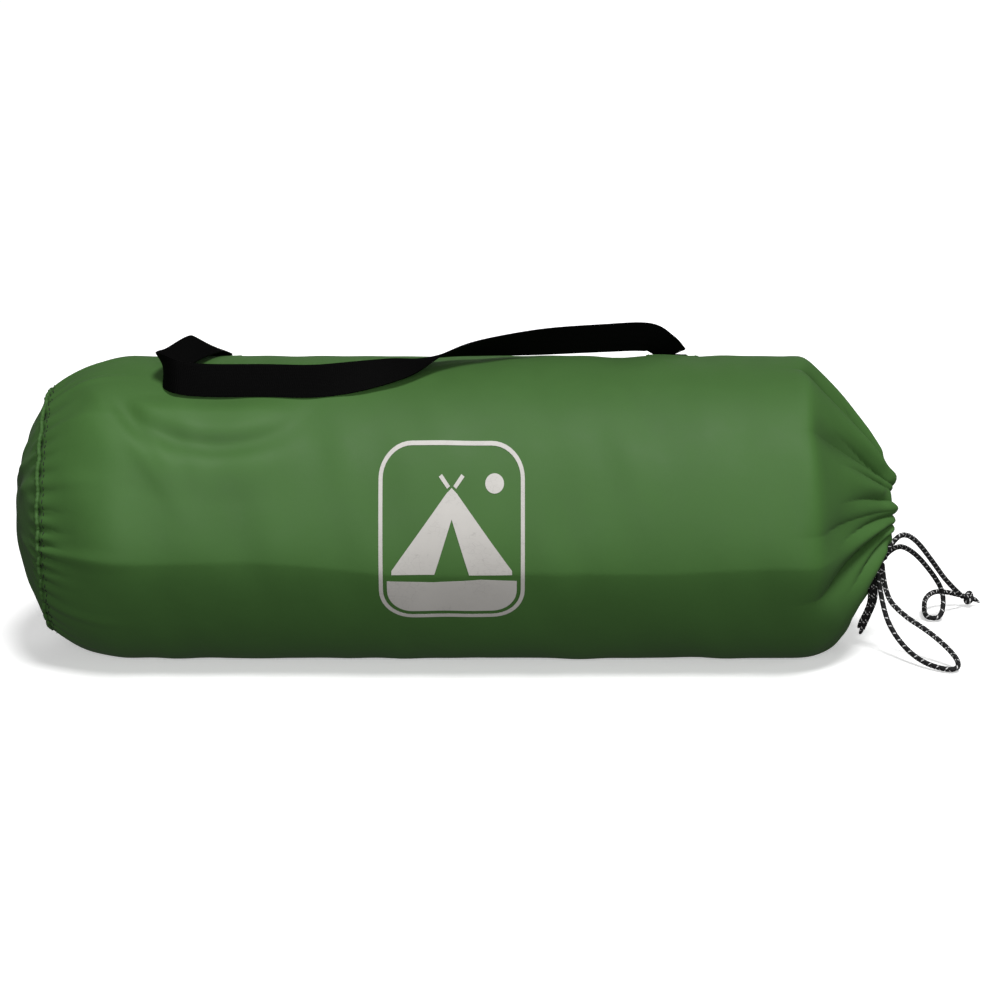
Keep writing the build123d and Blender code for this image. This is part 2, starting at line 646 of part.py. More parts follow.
# ---- pegs and guy ropes -----------------------------------------------------
PEG_Y = core_r - FIT - 1.2 - peg_bag_out
PEG_BAG_HALF = 242.0
with BuildPart() as peg_bag:
    with BuildSketch(Plane.YZ.offset(-PEG_BAG_HALF)):
        with Locations((PEG_Y, AXIS_Z)):
            Circle(peg_bag_out)
    extrude(amount=2 * PEG_BAG_HALF)
    with BuildSketch(Plane.YZ.offset(-PEG_BAG_HALF + BAG_CLOTH)):
        with Locations((PEG_Y, AXIS_Z)):
            Circle(peg_bag_in)
    extrude(amount=2 * (PEG_BAG_HALF - BAG_CLOTH), mode=Mode.SUBTRACT)
peg_bag.part.label = "peg_bag"
export_step(peg_bag.part, "parts/peg_bag.step")

with BuildPart() as pegs:
    for start_x in (-236.0, -66.0):
        for k in range(PEG_COUNT):
            a = 2 * math.pi * (k + 0.5) / PEG_COUNT
            out = Vector(0, math.cos(a), math.sin(a))
            foot = Vector(start_x + 4, PEG_Y, AXIS_Z) + out * peg_ring
            head = foot + Vector(PEG_LEN - 6, 0, 0)
            bend = head + out * PEG_HOOK
            hook = bend - Vector(9, 0, 0)
            with BuildLine() as peg_path:
                FilletPolyline(foot, head, bend, hook, radius=2.6)
            with BuildSketch(peg_path.line ^ 0):
                Circle(PEG_R)
            sweep(path=peg_path.line)
            with BuildSketch(Plane(origin=foot, x_dir=(0, 1, 0), z_dir=(-1, 0, 0))):
                Circle(PEG_R)
            extrude(amount=4.0, taper=20)
pegs.part.label = "pegs"
export_step(pegs.part, "parts/pegs.step")

HANK_LEN = 62.0
HANK_W = 17.0
HANK_R = 3.2
with BuildPart() as guy_hanks:
    for x_mid in (138.0, 204.0):
        for side in (-1, 1):
            level = AXIS_Z + side * (HANK_R + 0.6)
            inner = HANK_W / 2 - HANK_R
            half = HANK_LEN / 2 - HANK_R - inner
            with BuildLine(Plane.XY.offset(level)) as hank_path:
                Line((x_mid - half, PEG_Y - inner), (x_mid + half, PEG_Y - inner))
                ThreePointArc((x_mid + half, PEG_Y - inner), (x_mid + half + inner, PEG_Y),
                              (x_mid + half, PEG_Y + inner))
                Line((x_mid + half, PEG_Y + inner), (x_mid - half, PEG_Y + inner))
                ThreePointArc((x_mid - half, PEG_Y + inner), (x_mid - half - inner, PEG_Y),
                              (x_mid - half, PEG_Y - inner))
            with BuildSketch(Plane(origin=(x_mid - half, PEG_Y - inner, level), x_dir=(0, 1, 0), z_dir=(1, 0, 0))):
                Circle(HANK_R)
            sweep(path=hank_path.line)
guy_hanks.part.label = "guy_hanks"
export_step(guy_hanks.part, "parts/guy_hanks.step")

with BuildPart() as guy_runners:
    for x_mid in (138.0, 204.0):
        for side in (-1, 1):
            level = AXIS_Z + side * (2 * HANK_R + 2.2)
            with BuildSketch(Plane.XY.offset(level - 1.0)):
                with Locations((x_mid, PEG_Y)):
                    SlotOverall(22.0, 8.0)
                with Locations((x_mid - 6, PEG_Y), (x_mid + 6, PEG_Y)):
                    Circle(1.6, mode=Mode.SUBTRACT)
            extrude(amount=2.0)
guy_runners.part.label = "guy_runners"
export_step(guy_runners.part, "parts/guy_runners.step")

print("hinge at", 0, round(HINGE_Y, 2), round(on_bag(0, hinge_turn, HINGE_R).Z, 2))
print("knot at", knot_at)
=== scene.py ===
"""A tent packed in its carry bag: cloth, strap, drawcord, rolled tent and studio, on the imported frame."""
import math

import bpy
import numpy as np
from bpy.props import FloatProperty, FloatVectorProperty, IntProperty, PointerProperty
from mathutils import Matrix, Vector


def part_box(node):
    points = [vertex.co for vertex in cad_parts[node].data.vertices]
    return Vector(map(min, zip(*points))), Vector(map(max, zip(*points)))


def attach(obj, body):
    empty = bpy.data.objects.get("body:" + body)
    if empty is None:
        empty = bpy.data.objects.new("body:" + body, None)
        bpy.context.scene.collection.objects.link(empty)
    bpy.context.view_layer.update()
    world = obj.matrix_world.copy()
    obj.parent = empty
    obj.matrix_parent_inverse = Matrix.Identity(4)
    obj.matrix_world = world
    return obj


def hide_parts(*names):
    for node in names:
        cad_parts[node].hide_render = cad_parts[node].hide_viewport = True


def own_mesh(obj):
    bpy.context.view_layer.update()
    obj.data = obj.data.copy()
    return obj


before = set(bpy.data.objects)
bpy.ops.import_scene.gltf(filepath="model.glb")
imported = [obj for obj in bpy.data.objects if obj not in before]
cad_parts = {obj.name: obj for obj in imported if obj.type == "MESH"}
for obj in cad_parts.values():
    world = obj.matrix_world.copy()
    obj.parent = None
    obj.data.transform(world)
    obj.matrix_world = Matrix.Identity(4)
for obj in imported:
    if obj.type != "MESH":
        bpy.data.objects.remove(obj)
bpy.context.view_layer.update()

bl_info = {
    "name": "Packed tent",
    "version": (1, 0, 0),
    "blender": (4, 5, 0),
    "location": "3D View > Sidebar > Packed tent",
    "description": "Dresses the frame of a tent packed in its carry bag",
    "category": "Object",
}

# Sizes of the frame, in millimetres
MM = 0.001
BAG_R = 119.0
AXIS_Z = 108.0
BASE_X = -312.0
BASE_R = 92.0
BASE_TIP = -340.0
TUBE_LEFT = -245.0
MOUTH_X = 255.0
HEM_R = 24.0
HEM_X = 331.0
CORD_R = 2.0
SHOULDER_R = 96.6                    # rounding from the tube to the base seam
SEAM_TURN = math.radians(-118.0)     # the long seam, low on the rear
CORD_TURN = math.radians(159)        # the drawcord leaves the hem here
CALM_TURN = math.radians(66)         # the front, where the mouth's cloth lies calmest
SINK = -1.1                          # the tube's cloth lies on the roll and sinks no deeper
STRAP_W = 25.0
STRAP_T = 1.8
STRAP_MIDDLES = (-185.5, 170.5)
STRAP_RUN_R = 121.0                  # radius at which lengths round the bag are counted under the strap
PATCH_W = 41.0
HINGE_Y, HINGE_Z = 38.0, 222.88
KNOT = (331.0, -12.79, 74.67)
END_KNOT = (419.0, 101.71, 7.52)
MARK_W, MARK_H, MARK_CORNER, MARK_LINE = 109, 131.5, 25, 3.0
MARK_UP = 117.55                     # height of the mark's middle
TIE_W = 22.0


# ---- plain helpers -----------------------------------------------------------
def let_go():
    """Deselect everything."""
    if bpy.context.object and bpy.context.object.mode != "OBJECT":
        bpy.ops.object.mode_set(mode="OBJECT")
    bpy.ops.object.select_all(action="DESELECT")


def hold(piece):
    """Select one piece and make it active."""
    let_go()
    piece.select_set(True)
    bpy.context.view_layer.objects.active = piece


def points_of(piece):
    """The piece's points in millimetres, as rows."""
    mesh = piece.data
    co = np.empty(len(mesh.vertices) * 3)
    mesh.vertices.foreach_get("co", co)
    return co.reshape(-1, 3) / MM


def put_points(piece, points):
    """Give the piece its points, in millimetres."""
    piece.data.vertices.foreach_set("co", (np.asarray(points) * MM).ravel())
    piece.data.update()


def note(piece, name, values):
    """Keep a number for each point, for the piece's finish."""
    layer = piece.data.attributes.new(name, "FLOAT", "POINT")
    layer.data.foreach_set("value", np.asarray(values, np.float32))


def flat_cut(name, across, along, size):
    """A flat cut of cloth of so many cells, with its UV map in metres. Returns it and each point's share
    across and along."""
    let_go()
    bpy.ops.mesh.primitive_grid_add(x_subdivisions=across, y_subdivisions=along, size=1)
    piece = bpy.context.object
    piece.name = piece.data.name = name
    co = points_of(piece) * MM
    layer = piece.data.uv_layers.active
    uv = np.empty(len(layer.data) * 2)
    layer.data.foreach_get("uv", uv)
    uv = uv.reshape(-1, 2) * np.array(size) * MM
    layer.data.foreach_set("uv", uv.ravel())
    return piece, co[:, 0] + 0.5, co[:, 1] + 0.5


def edit_all(piece, step, **settings):
    """One edit-mode step on the whole of a piece."""
    hold(piece)
    bpy.ops.object.mode_set(mode="EDIT")
    bpy.ops.mesh.select_all(action="SELECT")
    step(**settings)
    bpy.ops.object.mode_set(mode="OBJECT")


def sew(piece, gap=0.01):
    """Join points that lie on each other, as along a sewn edge or a pole."""
    edit_all(piece, bpy.ops.mesh.remove_doubles, threshold=gap * MM)


def add_and_apply(piece, kind, **settings):
    """Add a modifier and apply it."""
    hold(piece)
    modifier = piece.modifiers.new(kind.title(), kind)
    for key, value in settings.items():
        setattr(modifier, key, value)
    bpy.ops.object.modifier_apply(modifier=modifier.name)


def thicken(piece, thickness, offset=-1.0):
    """Give a sheet its thickness, in millimetres."""
    add_and_apply(piece, "SOLIDIFY", thickness=thickness * MM, offset=offset)


def smooth(piece, angle=None):
    """Smooth shading, with edges sharper than the angle kept."""
    hold(piece)
    if angle is None:
        bpy.ops.object.shade_smooth()
    else:
        bpy.ops.object.shade_smooth_by_angle(angle=math.radians(angle))


def join(name, pieces):
    """Join pieces into one."""
    let_go()
    for piece in pieces:
        piece.select_set(True)
    bpy.context.view_layer.objects.active = pieces[0]
    if len(pieces) > 1:
        bpy.ops.object.join()
    pieces[0].name = pieces[0].data.name = name
    return pieces[0]


def copies(name, master, places):
    """Copy a small piece to each place, a 4x4 matrix in metres, and join the copies. The master goes."""
    made = []
    for place in places:
        twin = master.copy()
        twin.data = master.data.copy()
        twin.data.transform(place)
        bpy.context.collection.objects.link(twin)
        made.append(twin)
    bpy.data.objects.remove(master, do_unlink=True)
    return join(name, made)


def settle(piece, material, body="bag", stands_for=()):
    """Finish, slot and body of a piece."""
    piece.data.materials.clear()
    piece.data.materials.append(material)
    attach(piece, body)
    if stands_for:
        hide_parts(*stands_for)
    return piece


def settle_mouth(piece):
    """Give the gathered mouth's piece a mesh of its own."""
    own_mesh(piece)


def settle_cord(piece, node):
    """Finish of a piece of the drawcord, which gets a mesh of its own."""
    settle(piece, FINISHES["drawcord"], stands_for=(node,))
    settle_mouth(piece)


def step01(x, low, high):
    """Smooth step from 0 at low to 1 at high."""
    t = np.clip((np.asarray(x, float) - low) / (high - low), 0.0, 1.0)
    return t * t * (3 - 2 * t)


def bell(gap, width):
    """1 where the gap is nothing, falling off over the width."""
    return np.exp(-(gap / width) ** 2)


def laid(z, floor, clear, soft):
    """Heights pressed softly onto a floor. What is above the clear height stays."""
    return np.where(z > clear, z, floor + soft * np.logaddexp(0.0, (z - floor) / soft))


def glide(points, steps):
    """Smooth line through the points, with so many steps from each to the next."""
    p = np.asarray(points, float)
    p = np.vstack([2 * p[0] - p[1], p, 2 * p[-1] - p[-2]])
    rows = []
    for i in range(1, len(p) - 2):
        for t in np.arange(steps) / steps:
            rows.append(0.5 * (2 * p[i] + (p[i + 1] - p[i - 1]) * t
                               + (2 * p[i - 1] - 5 * p[i] + 4 * p[i + 1] - p[i + 2]) * t ** 2
                               + (3 * p[i] - p[i - 1] - 3 * p[i + 1] + p[i + 2]) * t ** 3))
    rows.append(p[-2])
    return np.array(rows)


def run_of(line):
    """Distance along a line at each of its points."""
    return np.concatenate([[0.0], np.cumsum(np.linalg.norm(np.diff(line, axis=0), axis=1))])


def even(line, step):
    """The same line with points an even step apart."""
    run = run_of(line)
    count = max(int(round(run[-1] / step)), 4)
    at = np.linspace(0, run[-1], count + 1)
    return np.stack([np.interp(at, run, line[:, k]) for k in range(3)], 1)


def unit(rows):
    """Rows at length one."""
    return rows / np.maximum(np.linalg.norm(rows, axis=-1, keepdims=True), 1e-12)


# ---- the skin of the full bag ------------------------------------------------
def ripple(x, turn, seed, parts=7, longest=210.0, shortest=50.0):
    """Soft unevenness of stuffed cloth, from -1 to 1. It closes on itself round the bag."""
    random = np.random.default_rng(seed)
    total = np.zeros(np.broadcast(x, turn).shape)
    for _ in range(parts):
        wave = 2 * math.pi / random.uniform(shortest, longest)
        lobes = random.integers(1, 9)
        total = total + np.sin(wave * x * random.choice((-1, 1)) + lobes * turn + random.uniform(0, 6.28))
    return total / math.sqrt(parts) / 1.4


def puff(phase, sharp=0.9):
    """Rounded ridge between sharp valleys, as gathered cloth puffs up."""
    return 2 * np.abs(np.cos(phase / 2)) ** sharp - 1.27


def build_profile():
    """Line of the bag's cloth from the base seam to inside the hem, as distance along, x and radius."""
    middle = BAG_R - SHOULDER_R
    angle = np.linspace(math.atan2(BASE_R - middle, BASE_X - TUBE_LEFT), math.pi / 2, 24)
    shoulder = np.stack([TUBE_LEFT + SHOULDER_R * np.cos(angle), middle + SHOULDER_R * np.sin(angle)], 1)
    body = np.stack([np.linspace(TUBE_LEFT, MOUTH_X, 60)[1:], np.full(59, BAG_R)], 1)
    mouth = [(255, 119), (263, 118.9), (269.5, 117.6), (275, 113), (283.5, 102), (297, 84), (311, 65),
             (322, 50), (330.5, 39.5), (336.5, 33.5), (339.6, 29.5), (339.2, 25), (336, 21.6), (331, 20.3),
             (326, 20.6), (322.5, 23)]
    mouth = glide(np.array(mouth, float), 8)[1:]
    line = np.vstack([shoulder, body, mouth])
    return run_of(line), line[:, 0], line[:, 1]


RUN, LINE_X, LINE_R = build_profile()
RISING = 84                          # points of the line before it turns back inside the hem
RUN_LEFT = float(np.interp(TUBE_LEFT, LINE_X[:RISING], RUN[:RISING]))
RUN_MOUTH = RUN_LEFT + MOUTH_X - TUBE_LEFT
RUN_END = float(RUN[-1])


def base_beat(turn):
    """Phase of the puckers round the base seam."""
    return 46 * turn + 2.2 * np.sin(3 * turn + 1.0) + 1.3 * np.sin(7 * turn + 0.4)


def facing(turn):
    """The same turn, from straight down on the rear to straight down on the front."""
    return (turn + math.pi) % (2 * math.pi) - math.pi


def base_creases(run, turn):
    """Puckers and short creases beside the base seam."""
    puckers = 1.5 * puff(base_beat(turn), 1.2) * np.exp(-(run / 15.0) ** 1.5) * (1 + 0.4 * np.sin(5 * turn))
    crease = np.clip(np.cos(15 * turn + 1.6 * np.sin(2 * turn) + 0.6), 0, 1) ** 5
    return puckers + 1.7 * crease * bell(run - 30, 34.0) * (0.6 + 0.4 * np.sin(4 * turn + 1))


def turned_under(x, run, turn):
    """The long fold where the full bag turns under, front and rear."""
    off = 0.0
    reach = step01(run, 8, 70) * (1 - step01(run, RUN_MOUTH + 5, RUN_MOUTH + 60))
    for side, low, tall, seed in ((1, 97.5, 7.6, 1.3), (-1, 106.0, 5.0, 4.0)):
        middle = math.radians(low) + 0.030 * np.sin(x / 75.0 + seed) + 0.014 * np.sin(x / 31.0 + 2 * seed)
        middle = middle + x * 0.00012
        gap = side * facing(turn) - middle
        above, below = np.exp(-np.abs(gap / 0.52) ** 1.3), np.exp(-np.abs(gap / 0.27) ** 1.2)
        off = off + tall * reach * np.where(gap < 0, above, below) * (0.9 + 0.1 * np.sin(x / 48.0 + seed))
    return off


def strap_creases(x, front):
    """Drag folds below the left end of the strap, and the soft hollow that it presses into the cloth."""
    off = 0.0
    fade = step01(front, 0.25, 0.6) * (1 - step01(front, 0.9, 1.5))
    for at, tilt, tall, wide in ((-238.0, 0.9, 1.6, 9.0), (-205.0, 0.55, 1.3, 10.0), (-262.0, 1.3, 1.5, 8.0)):
        off = off + tall * bell(x - at - 60.0 * tilt * (front - 0.6), wide) * fade
    across, down = (x + 174.0) / 78.0, (front - 0.49) / 0.43
    rim = np.hypot(across, down) - 1
    groove = np.where(rim < 0, bell(rim, 0.15), bell(rim, 0.24))
    mound = 4.6 * (1 - step01(rim, 0.15, 0.9))
    return off + (mound - 5.8 * groove) * step01(down, 0.05, 0.50) * (1 - step01(across, 0.15, 1.0))


def skin(run, turn, proud=0.0, depth=1.0, pleats=22):
    """Points of the cloth at a distance along it from the base seam and a turn forward from straight up, in
    radians, lifted proud of it. Returns them and how far they stand off the plain form."""
    run, turn = np.broadcast_arrays(np.asarray(run, float), np.asarray(turn, float))
    x, r = np.interp(run, RUN, LINE_X), np.interp(run, RUN, LINE_R)
    x_next, r_next = np.interp(run + 1.5, RUN, LINE_X), np.interp(run + 1.5, RUN, LINE_R)
    x_last, r_last = np.interp(run - 1.5, RUN, LINE_X), np.interp(run - 1.5, RUN, LINE_R)
    along = unit(np.stack([x_next - x_last, r_next - r_last], -1))
    out_x, out_r = -along[..., 1], along[..., 0]
    front = facing(turn)

    late = step01(run, RUN_MOUTH - 55, RUN_MOUTH + 30)
    off = depth * (0.75 * ripple(x, turn, 3) + 0.55 * ripple(x, turn, 8, 9, 90.0, 34.0)) * (1 - 0.6 * late)
    off = off + depth * base_creases(run, turn) + turned_under(x, run, turn) + depth * strap_creases(x, front)
    # pleats of the gathered mouth: few deep ones that start early, many small ones near the hem
    bend = turn + 0.10 * np.sin(2 * turn + 0.7) + 0.06 * np.sin(3 * turn + 2.1) + 0.035 * np.sin(5 * turn + 4)
    bend = bend + 0.16 * step01(run, RUN_MOUTH, RUN_END)
    few = puff((pleats // 2) * bend + 0.5 * np.sin(4 * turn) * late, 0.85)
    many = puff(pleats * bend + 0.7 * np.sin(6 * turn + 1.0), 0.8)
    tight = np.clip(r / BAG_R, 0, 1)
    cord_side = bell(front - CORD_TURN, 0.42)
    calm = 1 - 0.66 * bell(front - CALM_TURN, 0.80)
    few_deep = 7.8 * step01(run, RUN_MOUTH - 10, RUN_MOUTH + 66) * (0.35 + 0.65 * step01(tight, 0.14, 0.5)) * calm
    many_deep = 4.2 * step01(run, RUN_MOUTH + 40, RUN_MOUTH + 104) * (0.3 + 0.7 * calm)
    uneven = 1 + 0.35 * np.sin(3 * turn + 0.5) + 0.2 * np.sin(7 * turn + 2)
    lip = step01(run, RUN_END - 42, RUN_END - 26)
    gather = few_deep * few * uneven * (1 - 0.55 * lip) + many_deep * many * (1 - 0.45 * lip)
    off = off + gather * (1 - step01(run, RUN_END - 14, RUN_END - 2)) * (1 - 0.6 * cord_side)
    off = np.where(run < RUN_MOUTH - 30, np.maximum(off, SINK), off)
    # the lower half of the mouth sags and spreads on the floor, and draws back behind the knot
    sag = step01(-np.cos(turn), 0.05, 0.9) * step01(run, RUN_MOUTH - 4, RUN_MOUTH + 34)
    sag = sag * (0.12 + 0.88 * step01(tight, 0.22, 0.72))
    notch = cord_side * step01(run, RUN_MOUTH + 42, RUN_MOUTH + 84) * (1 - 0.55 * lip)
    ruffle = lip * (1 - step01(run, RUN_END - 12, RUN_END))
    x = x + out_x * off + out_x * proud + 15.0 * sag - 11.0 * notch
    x = x + ruffle * (2.2 * np.sin(5 * turn + 0.6) + 1.4 * np.sin(11 * turn))
    r = r + out_r * off + out_r * proud + 2.0 * sag * (1 - tight) + ruffle * 1.6 * np.sin(6 * turn + 1.9)
    r = r - 2.6 * cord_side * ruffle
    y, z = -r * np.sin(turn), laid(AXIS_Z + r * np.cos(turn), 0.0, 30, 2.2)
    if np.any(proud):
        z = np.where(z < proud, proud, z)
    return np.stack([x, y, z], -1), off


def skin_normals(run, turn, depth=1.0, pleats=22):
    """Which way the cloth faces at those places."""
    a, b = 0.8, 0.8 / 100
    along = skin(run + a, turn, 0, depth, pleats)[0] - skin(run - a, turn, 0, depth, pleats)[0]
    around = skin(run, turn + b, 0, depth, pleats)[0] - skin(run, turn - b, 0, depth, pleats)[0]
    return unit(np.cross(around, along))


def keep_normals(piece, normals):
    """Store each point's normal with the piece."""
    layer = piece.data.attributes.new("lie", "FLOAT_VECTOR", "POINT")
    layer.data.foreach_set("vector", normals.astype(np.float32).ravel())


def use_normals(piece):
    """Shade by the stored normals, so that two cuts of one cloth meet without a line."""
    mesh = piece.data
    count = len(mesh.vertices)
    stored, own = np.empty(count * 3), np.empty(count * 3)
    mesh.attributes["lie"].data.foreach_get("vector", stored)
    mesh.vertices.foreach_get("normal", own)
    stored, own = stored.reshape(-1, 3), own.reshape(-1, 3)
    stored = np.where((stored * own).sum(1, keepdims=True) < 0, -stored, stored)
    mesh.normals_split_custom_set_from_vertices(stored.tolist())
    mesh.attributes.remove(mesh.attributes["lie"])


def bag_run(x):
    """Distance along the cloth at x on the straight part."""
    return RUN_LEFT + np.asarray(x, float) - TUBE_LEFT


def turn_at(y, z):
    """Turn forward from straight up of a place beside the bag."""
    return np.arctan2(-np.asarray(y, float), np.asarray(z, float) - AXIS_Z)


def placed(first, second, third, spot):
    """A 4x4 matrix in metres from three directions and a spot in millimetres."""
    return Matrix([[first[i], second[i], third[i], spot[i] * MM] for i in range(3)] + [[0, 0, 0, 1]])


def frame_on(x, turn, proud, spin=0.0):
    """Place on the bag as a 4x4 matrix in metres: X along the bag, Z away from it, turned by spin about Z."""
    run = bag_run(x) if x > TUBE_LEFT else x
    spot = skin(np.array([run]), np.array([turn]), proud)[0][0]
    normal = skin_normals(np.array([run]), np.array([turn]))[0]
    along = np.array([1.0, 0, 0])
    along = unit(along - normal * along.dot(normal))
    across = np.cross(normal, along)
    c, s = math.cos(spin), math.sin(spin)
    return placed(along * c + across * s, across * c - along * s, normal, spot)


# ---- tubes and cords ---------------------------------------------------------
def route(name, points):
    """Points of a smooth cord line through its route, in millimetres."""
    curve = bpy.data.curves.new(name + "_route", "CURVE")
    curve.dimensions = "3D"
    spline = curve.splines.new("NURBS")
    spline.points.add(len(points) - 1)
    for target, spot in zip(spline.points, points):
        target.co = (spot[0] * MM, spot[1] * MM, spot[2] * MM, 1.0)
    spline.order_u = 3
    spline.use_endpoint_u = True
    spline.resolution_u = 16
    holder = bpy.data.objects.new(name + "_route", curve)
    bpy.context.collection.objects.link(holder)
    mesh = bpy.data.meshes.new_from_object(holder)
    line = np.array([v.co for v in mesh.vertices]) / MM
    bpy.data.objects.remove(holder, do_unlink=True)
    bpy.data.meshes.remove(mesh)
    return line


def side_frames(line, closed=False):
    """Two directions square to the line at each point, without twist."""
    ahead = np.roll(line, -1, 0) - np.roll(line, 1, 0) if closed else np.gradient(line, axis=0)
    ahead = unit(ahead)
    first = np.cross(ahead[0], (0, 0, 1.0))
    if np.linalg.norm(first) < 0.2:
        first = np.cross(ahead[0], (0, 1.0, 0))
    first = unit(first)
    rows = [first]
    for i in range(1, len(line)):
        nxt = rows[-1] - ahead[i] * ahead[i].dot(rows[-1])
        rows.append(unit(nxt))
    first = np.array(rows)
    if closed:
        second = np.cross(ahead, first)
        slip = math.atan2(first[0].dot(second[-1]), first[0].dot(first[-1]))
        share = slip * np.arange(len(line)) / len(line)
        first, second = (first * np.cos(share)[:, None] + second * np.sin(share)[:, None],
                         second * np.cos(share)[:, None] - first * np.sin(share)[:, None])
    return first, np.cross(ahead, first)


def tube(name, line, radius, sides=20, closed=False, relief=None, taper=None):
    """Round tube along an even line. Relief gives a share of the radius from the turn and the distance
    along; taper gives the radius's share at each distance along."""
    line = np.asarray(line, float)
    run = run_of(line)
    if closed:
        run = np.append(run, run[-1] + np.linalg.norm(line[0] - line[-1]))
    first, second = side_frames(line, closed)
    rows = len(run) - 1
    piece, u, v = flat_cut(name, sides, rows, (2 * math.pi * radius, run[-1]))
    i = np.rint(v * rows).astype(int)
    at = run[i]
    j = i % len(line)
    size = np.full(len(u), radius)
    if relief is not None:
        size = size * (1 + relief(u * 2 * math.pi, at))
    if taper is not None:
        size = size * taper(at)
    if not closed:
        end = np.minimum(at, run[-1] - at)
        share = np.clip(end / radius, 0, 1)
        size = size * np.sqrt(np.maximum(1 - (1 - share) ** 2, 0))
    angle = (u * 2 * math.pi)[:, None]
    put_points(piece, line[j] + size[:, None] * (np.cos(angle) * first[j] + np.sin(angle) * second[j]))
    sew(piece, 0.004)
    smooth(piece)
    return piece


def braid(turn, at):
    """Relief of a braided cord."""
    left = np.sin(4 * turn + at * 2 * math.pi / 3.4)
    right = np.sin(4 * turn - at * 2 * math.pi / 3.4)
    return 0.055 * np.maximum(left, right) - 0.02


# ---- finishes ----------------------------------------------------------------
class Val:
    """A shader socket that can be used in sums."""

    def __init__(self, tree, socket):
        self.tree, self.socket = tree, socket

    def maths(self, operation, *others):
        node = self.tree.nodes.new("ShaderNodeMath")
        node.operation = operation
        for slot, value in zip(node.inputs, (self, *others)):
            if isinstance(value, Val):
                self.tree.links.new(value.socket, slot)
            else:
                slot.default_value = value
        return Val(self.tree, node.outputs[0])

    def other_first(self, operation, other):
        node = self.tree.nodes.new("ShaderNodeMath")
        node.operation = operation
        node.inputs[0].default_value = other
        self.tree.links.new(self.socket, node.inputs[1])
        return Val(self.tree, node.outputs[0])

    def __add__(self, other):
        return self.maths("ADD", other)

    def __radd__(self, other):
        return self.maths("ADD", other)

    def __sub__(self, other):
        return self.maths("SUBTRACT", other)

    def __rsub__(self, other):
        return self.other_first("SUBTRACT", other)

    def __mul__(self, other):
        return self.maths("MULTIPLY", other)

    def __rmul__(self, other):
        return self.maths("MULTIPLY", other)

    def __truediv__(self, other):
        return self.maths("DIVIDE", other)

    def __gt__(self, other):
        return self.maths("GREATER_THAN", other)

    def __lt__(self, other):
        return self.maths("LESS_THAN", other)

    def sin(self):
        return self.maths("SINE")

    def fract(self):
        return self.maths("FRACT")

    def size(self):
        return self.maths("ABSOLUTE")

    def larger(self, other):
        return self.maths("MAXIMUM", other)

    def smaller(self, other):
        return self.maths("MINIMUM", other)


class Finish:
    """A procedural material in the making."""

    def __init__(self, name, **plain):
        self.material = bpy.data.materials.new(name)
        self.material.use_nodes = True
        self.tree = self.material.node_tree
        self.shader = next(n for n in self.tree.nodes if n.type == "BSDF_PRINCIPLED")
        self.wire(self.shader, {key.replace("_", " "): value for key, value in plain.items()})

    def wire(self, node, sockets):
        for key, value in sockets.items():
            target = node.inputs[key]
            if isinstance(value, Val):
                self.tree.links.new(value.socket, target)
            elif hasattr(value, "__len__") and len(value) == 3 and target.type == "RGBA":
                target.default_value = (*value, 1.0)
            else:
                target.default_value = value

    def node(self, kind, settings=None, sockets=None, out=0):
        """Any node: its settings are set first, then its sockets. Returns one of its outputs."""
        node = self.tree.nodes.new(kind)
        for key, value in (settings or {}).items():
            setattr(node, key, value)
        self.wire(node, sockets or {})
        return Val(self.tree, node.outputs[out])

    def set(self, **sockets):
        self.wire(self.shader, {key.replace("_", " "): value for key, value in sockets.items()})

    def uv(self):
        """The cloth's own map, in metres across and along."""
        both = self.node("ShaderNodeUVMap", {"uv_map": "UVMap"})
        return self.split(both)

    def place(self):
        """Object coordinates."""
        return self.node("ShaderNodeTexCoord", out=3)

    def split(self, vector):
        node = self.tree.nodes.new("ShaderNodeSeparateXYZ")
        self.tree.links.new(vector.socket, node.inputs[0])
        return [Val(self.tree, out) for out in node.outputs]

    def noise(self, scale, detail=2.0, vector=None, rough=0.5):
        sockets = {"Vector": vector or self.place(), "Scale": scale, "Detail": detail, "Roughness": rough}
        return self.node("ShaderNodeTexNoise", sockets=sockets, out=0)

    def stretched(self, vector, scale):
        return self.node("ShaderNodeMapping", sockets={"Vector": vector, "Scale": scale})

    def blend(self, share, a, b):
        """Mix of two colours."""
        node = self.tree.nodes.new("ShaderNodeMix")
        node.data_type, node.blend_type, node.clamp_factor = "RGBA", "MIX", True
        for slot, value in ((node.inputs[0], share), (node.inputs[6], a), (node.inputs[7], b)):
            if isinstance(value, Val):
                self.tree.links.new(value.socket, slot)
            elif slot.type == "RGBA":
                slot.default_value = (*value, 1.0)
            else:
                slot.default_value = value
        return Val(self.tree, node.outputs[2])

    def kept(self, name):
        """A number kept with the points."""
        return self.node("ShaderNodeAttribute", {"attribute_name": name}, out=2)

    def bump(self, height, strength, distance, under=None):
        sockets = {"Height": height, "Strength": strength, "Distance": distance}
        if under is not None:
            sockets["Normal"] = under
        return self.node("ShaderNodeBump", sockets=sockets)


def shade(colour, by):
    """The same colour, lighter or darker."""
    return tuple(min(c * by, 1.0) for c in colour)


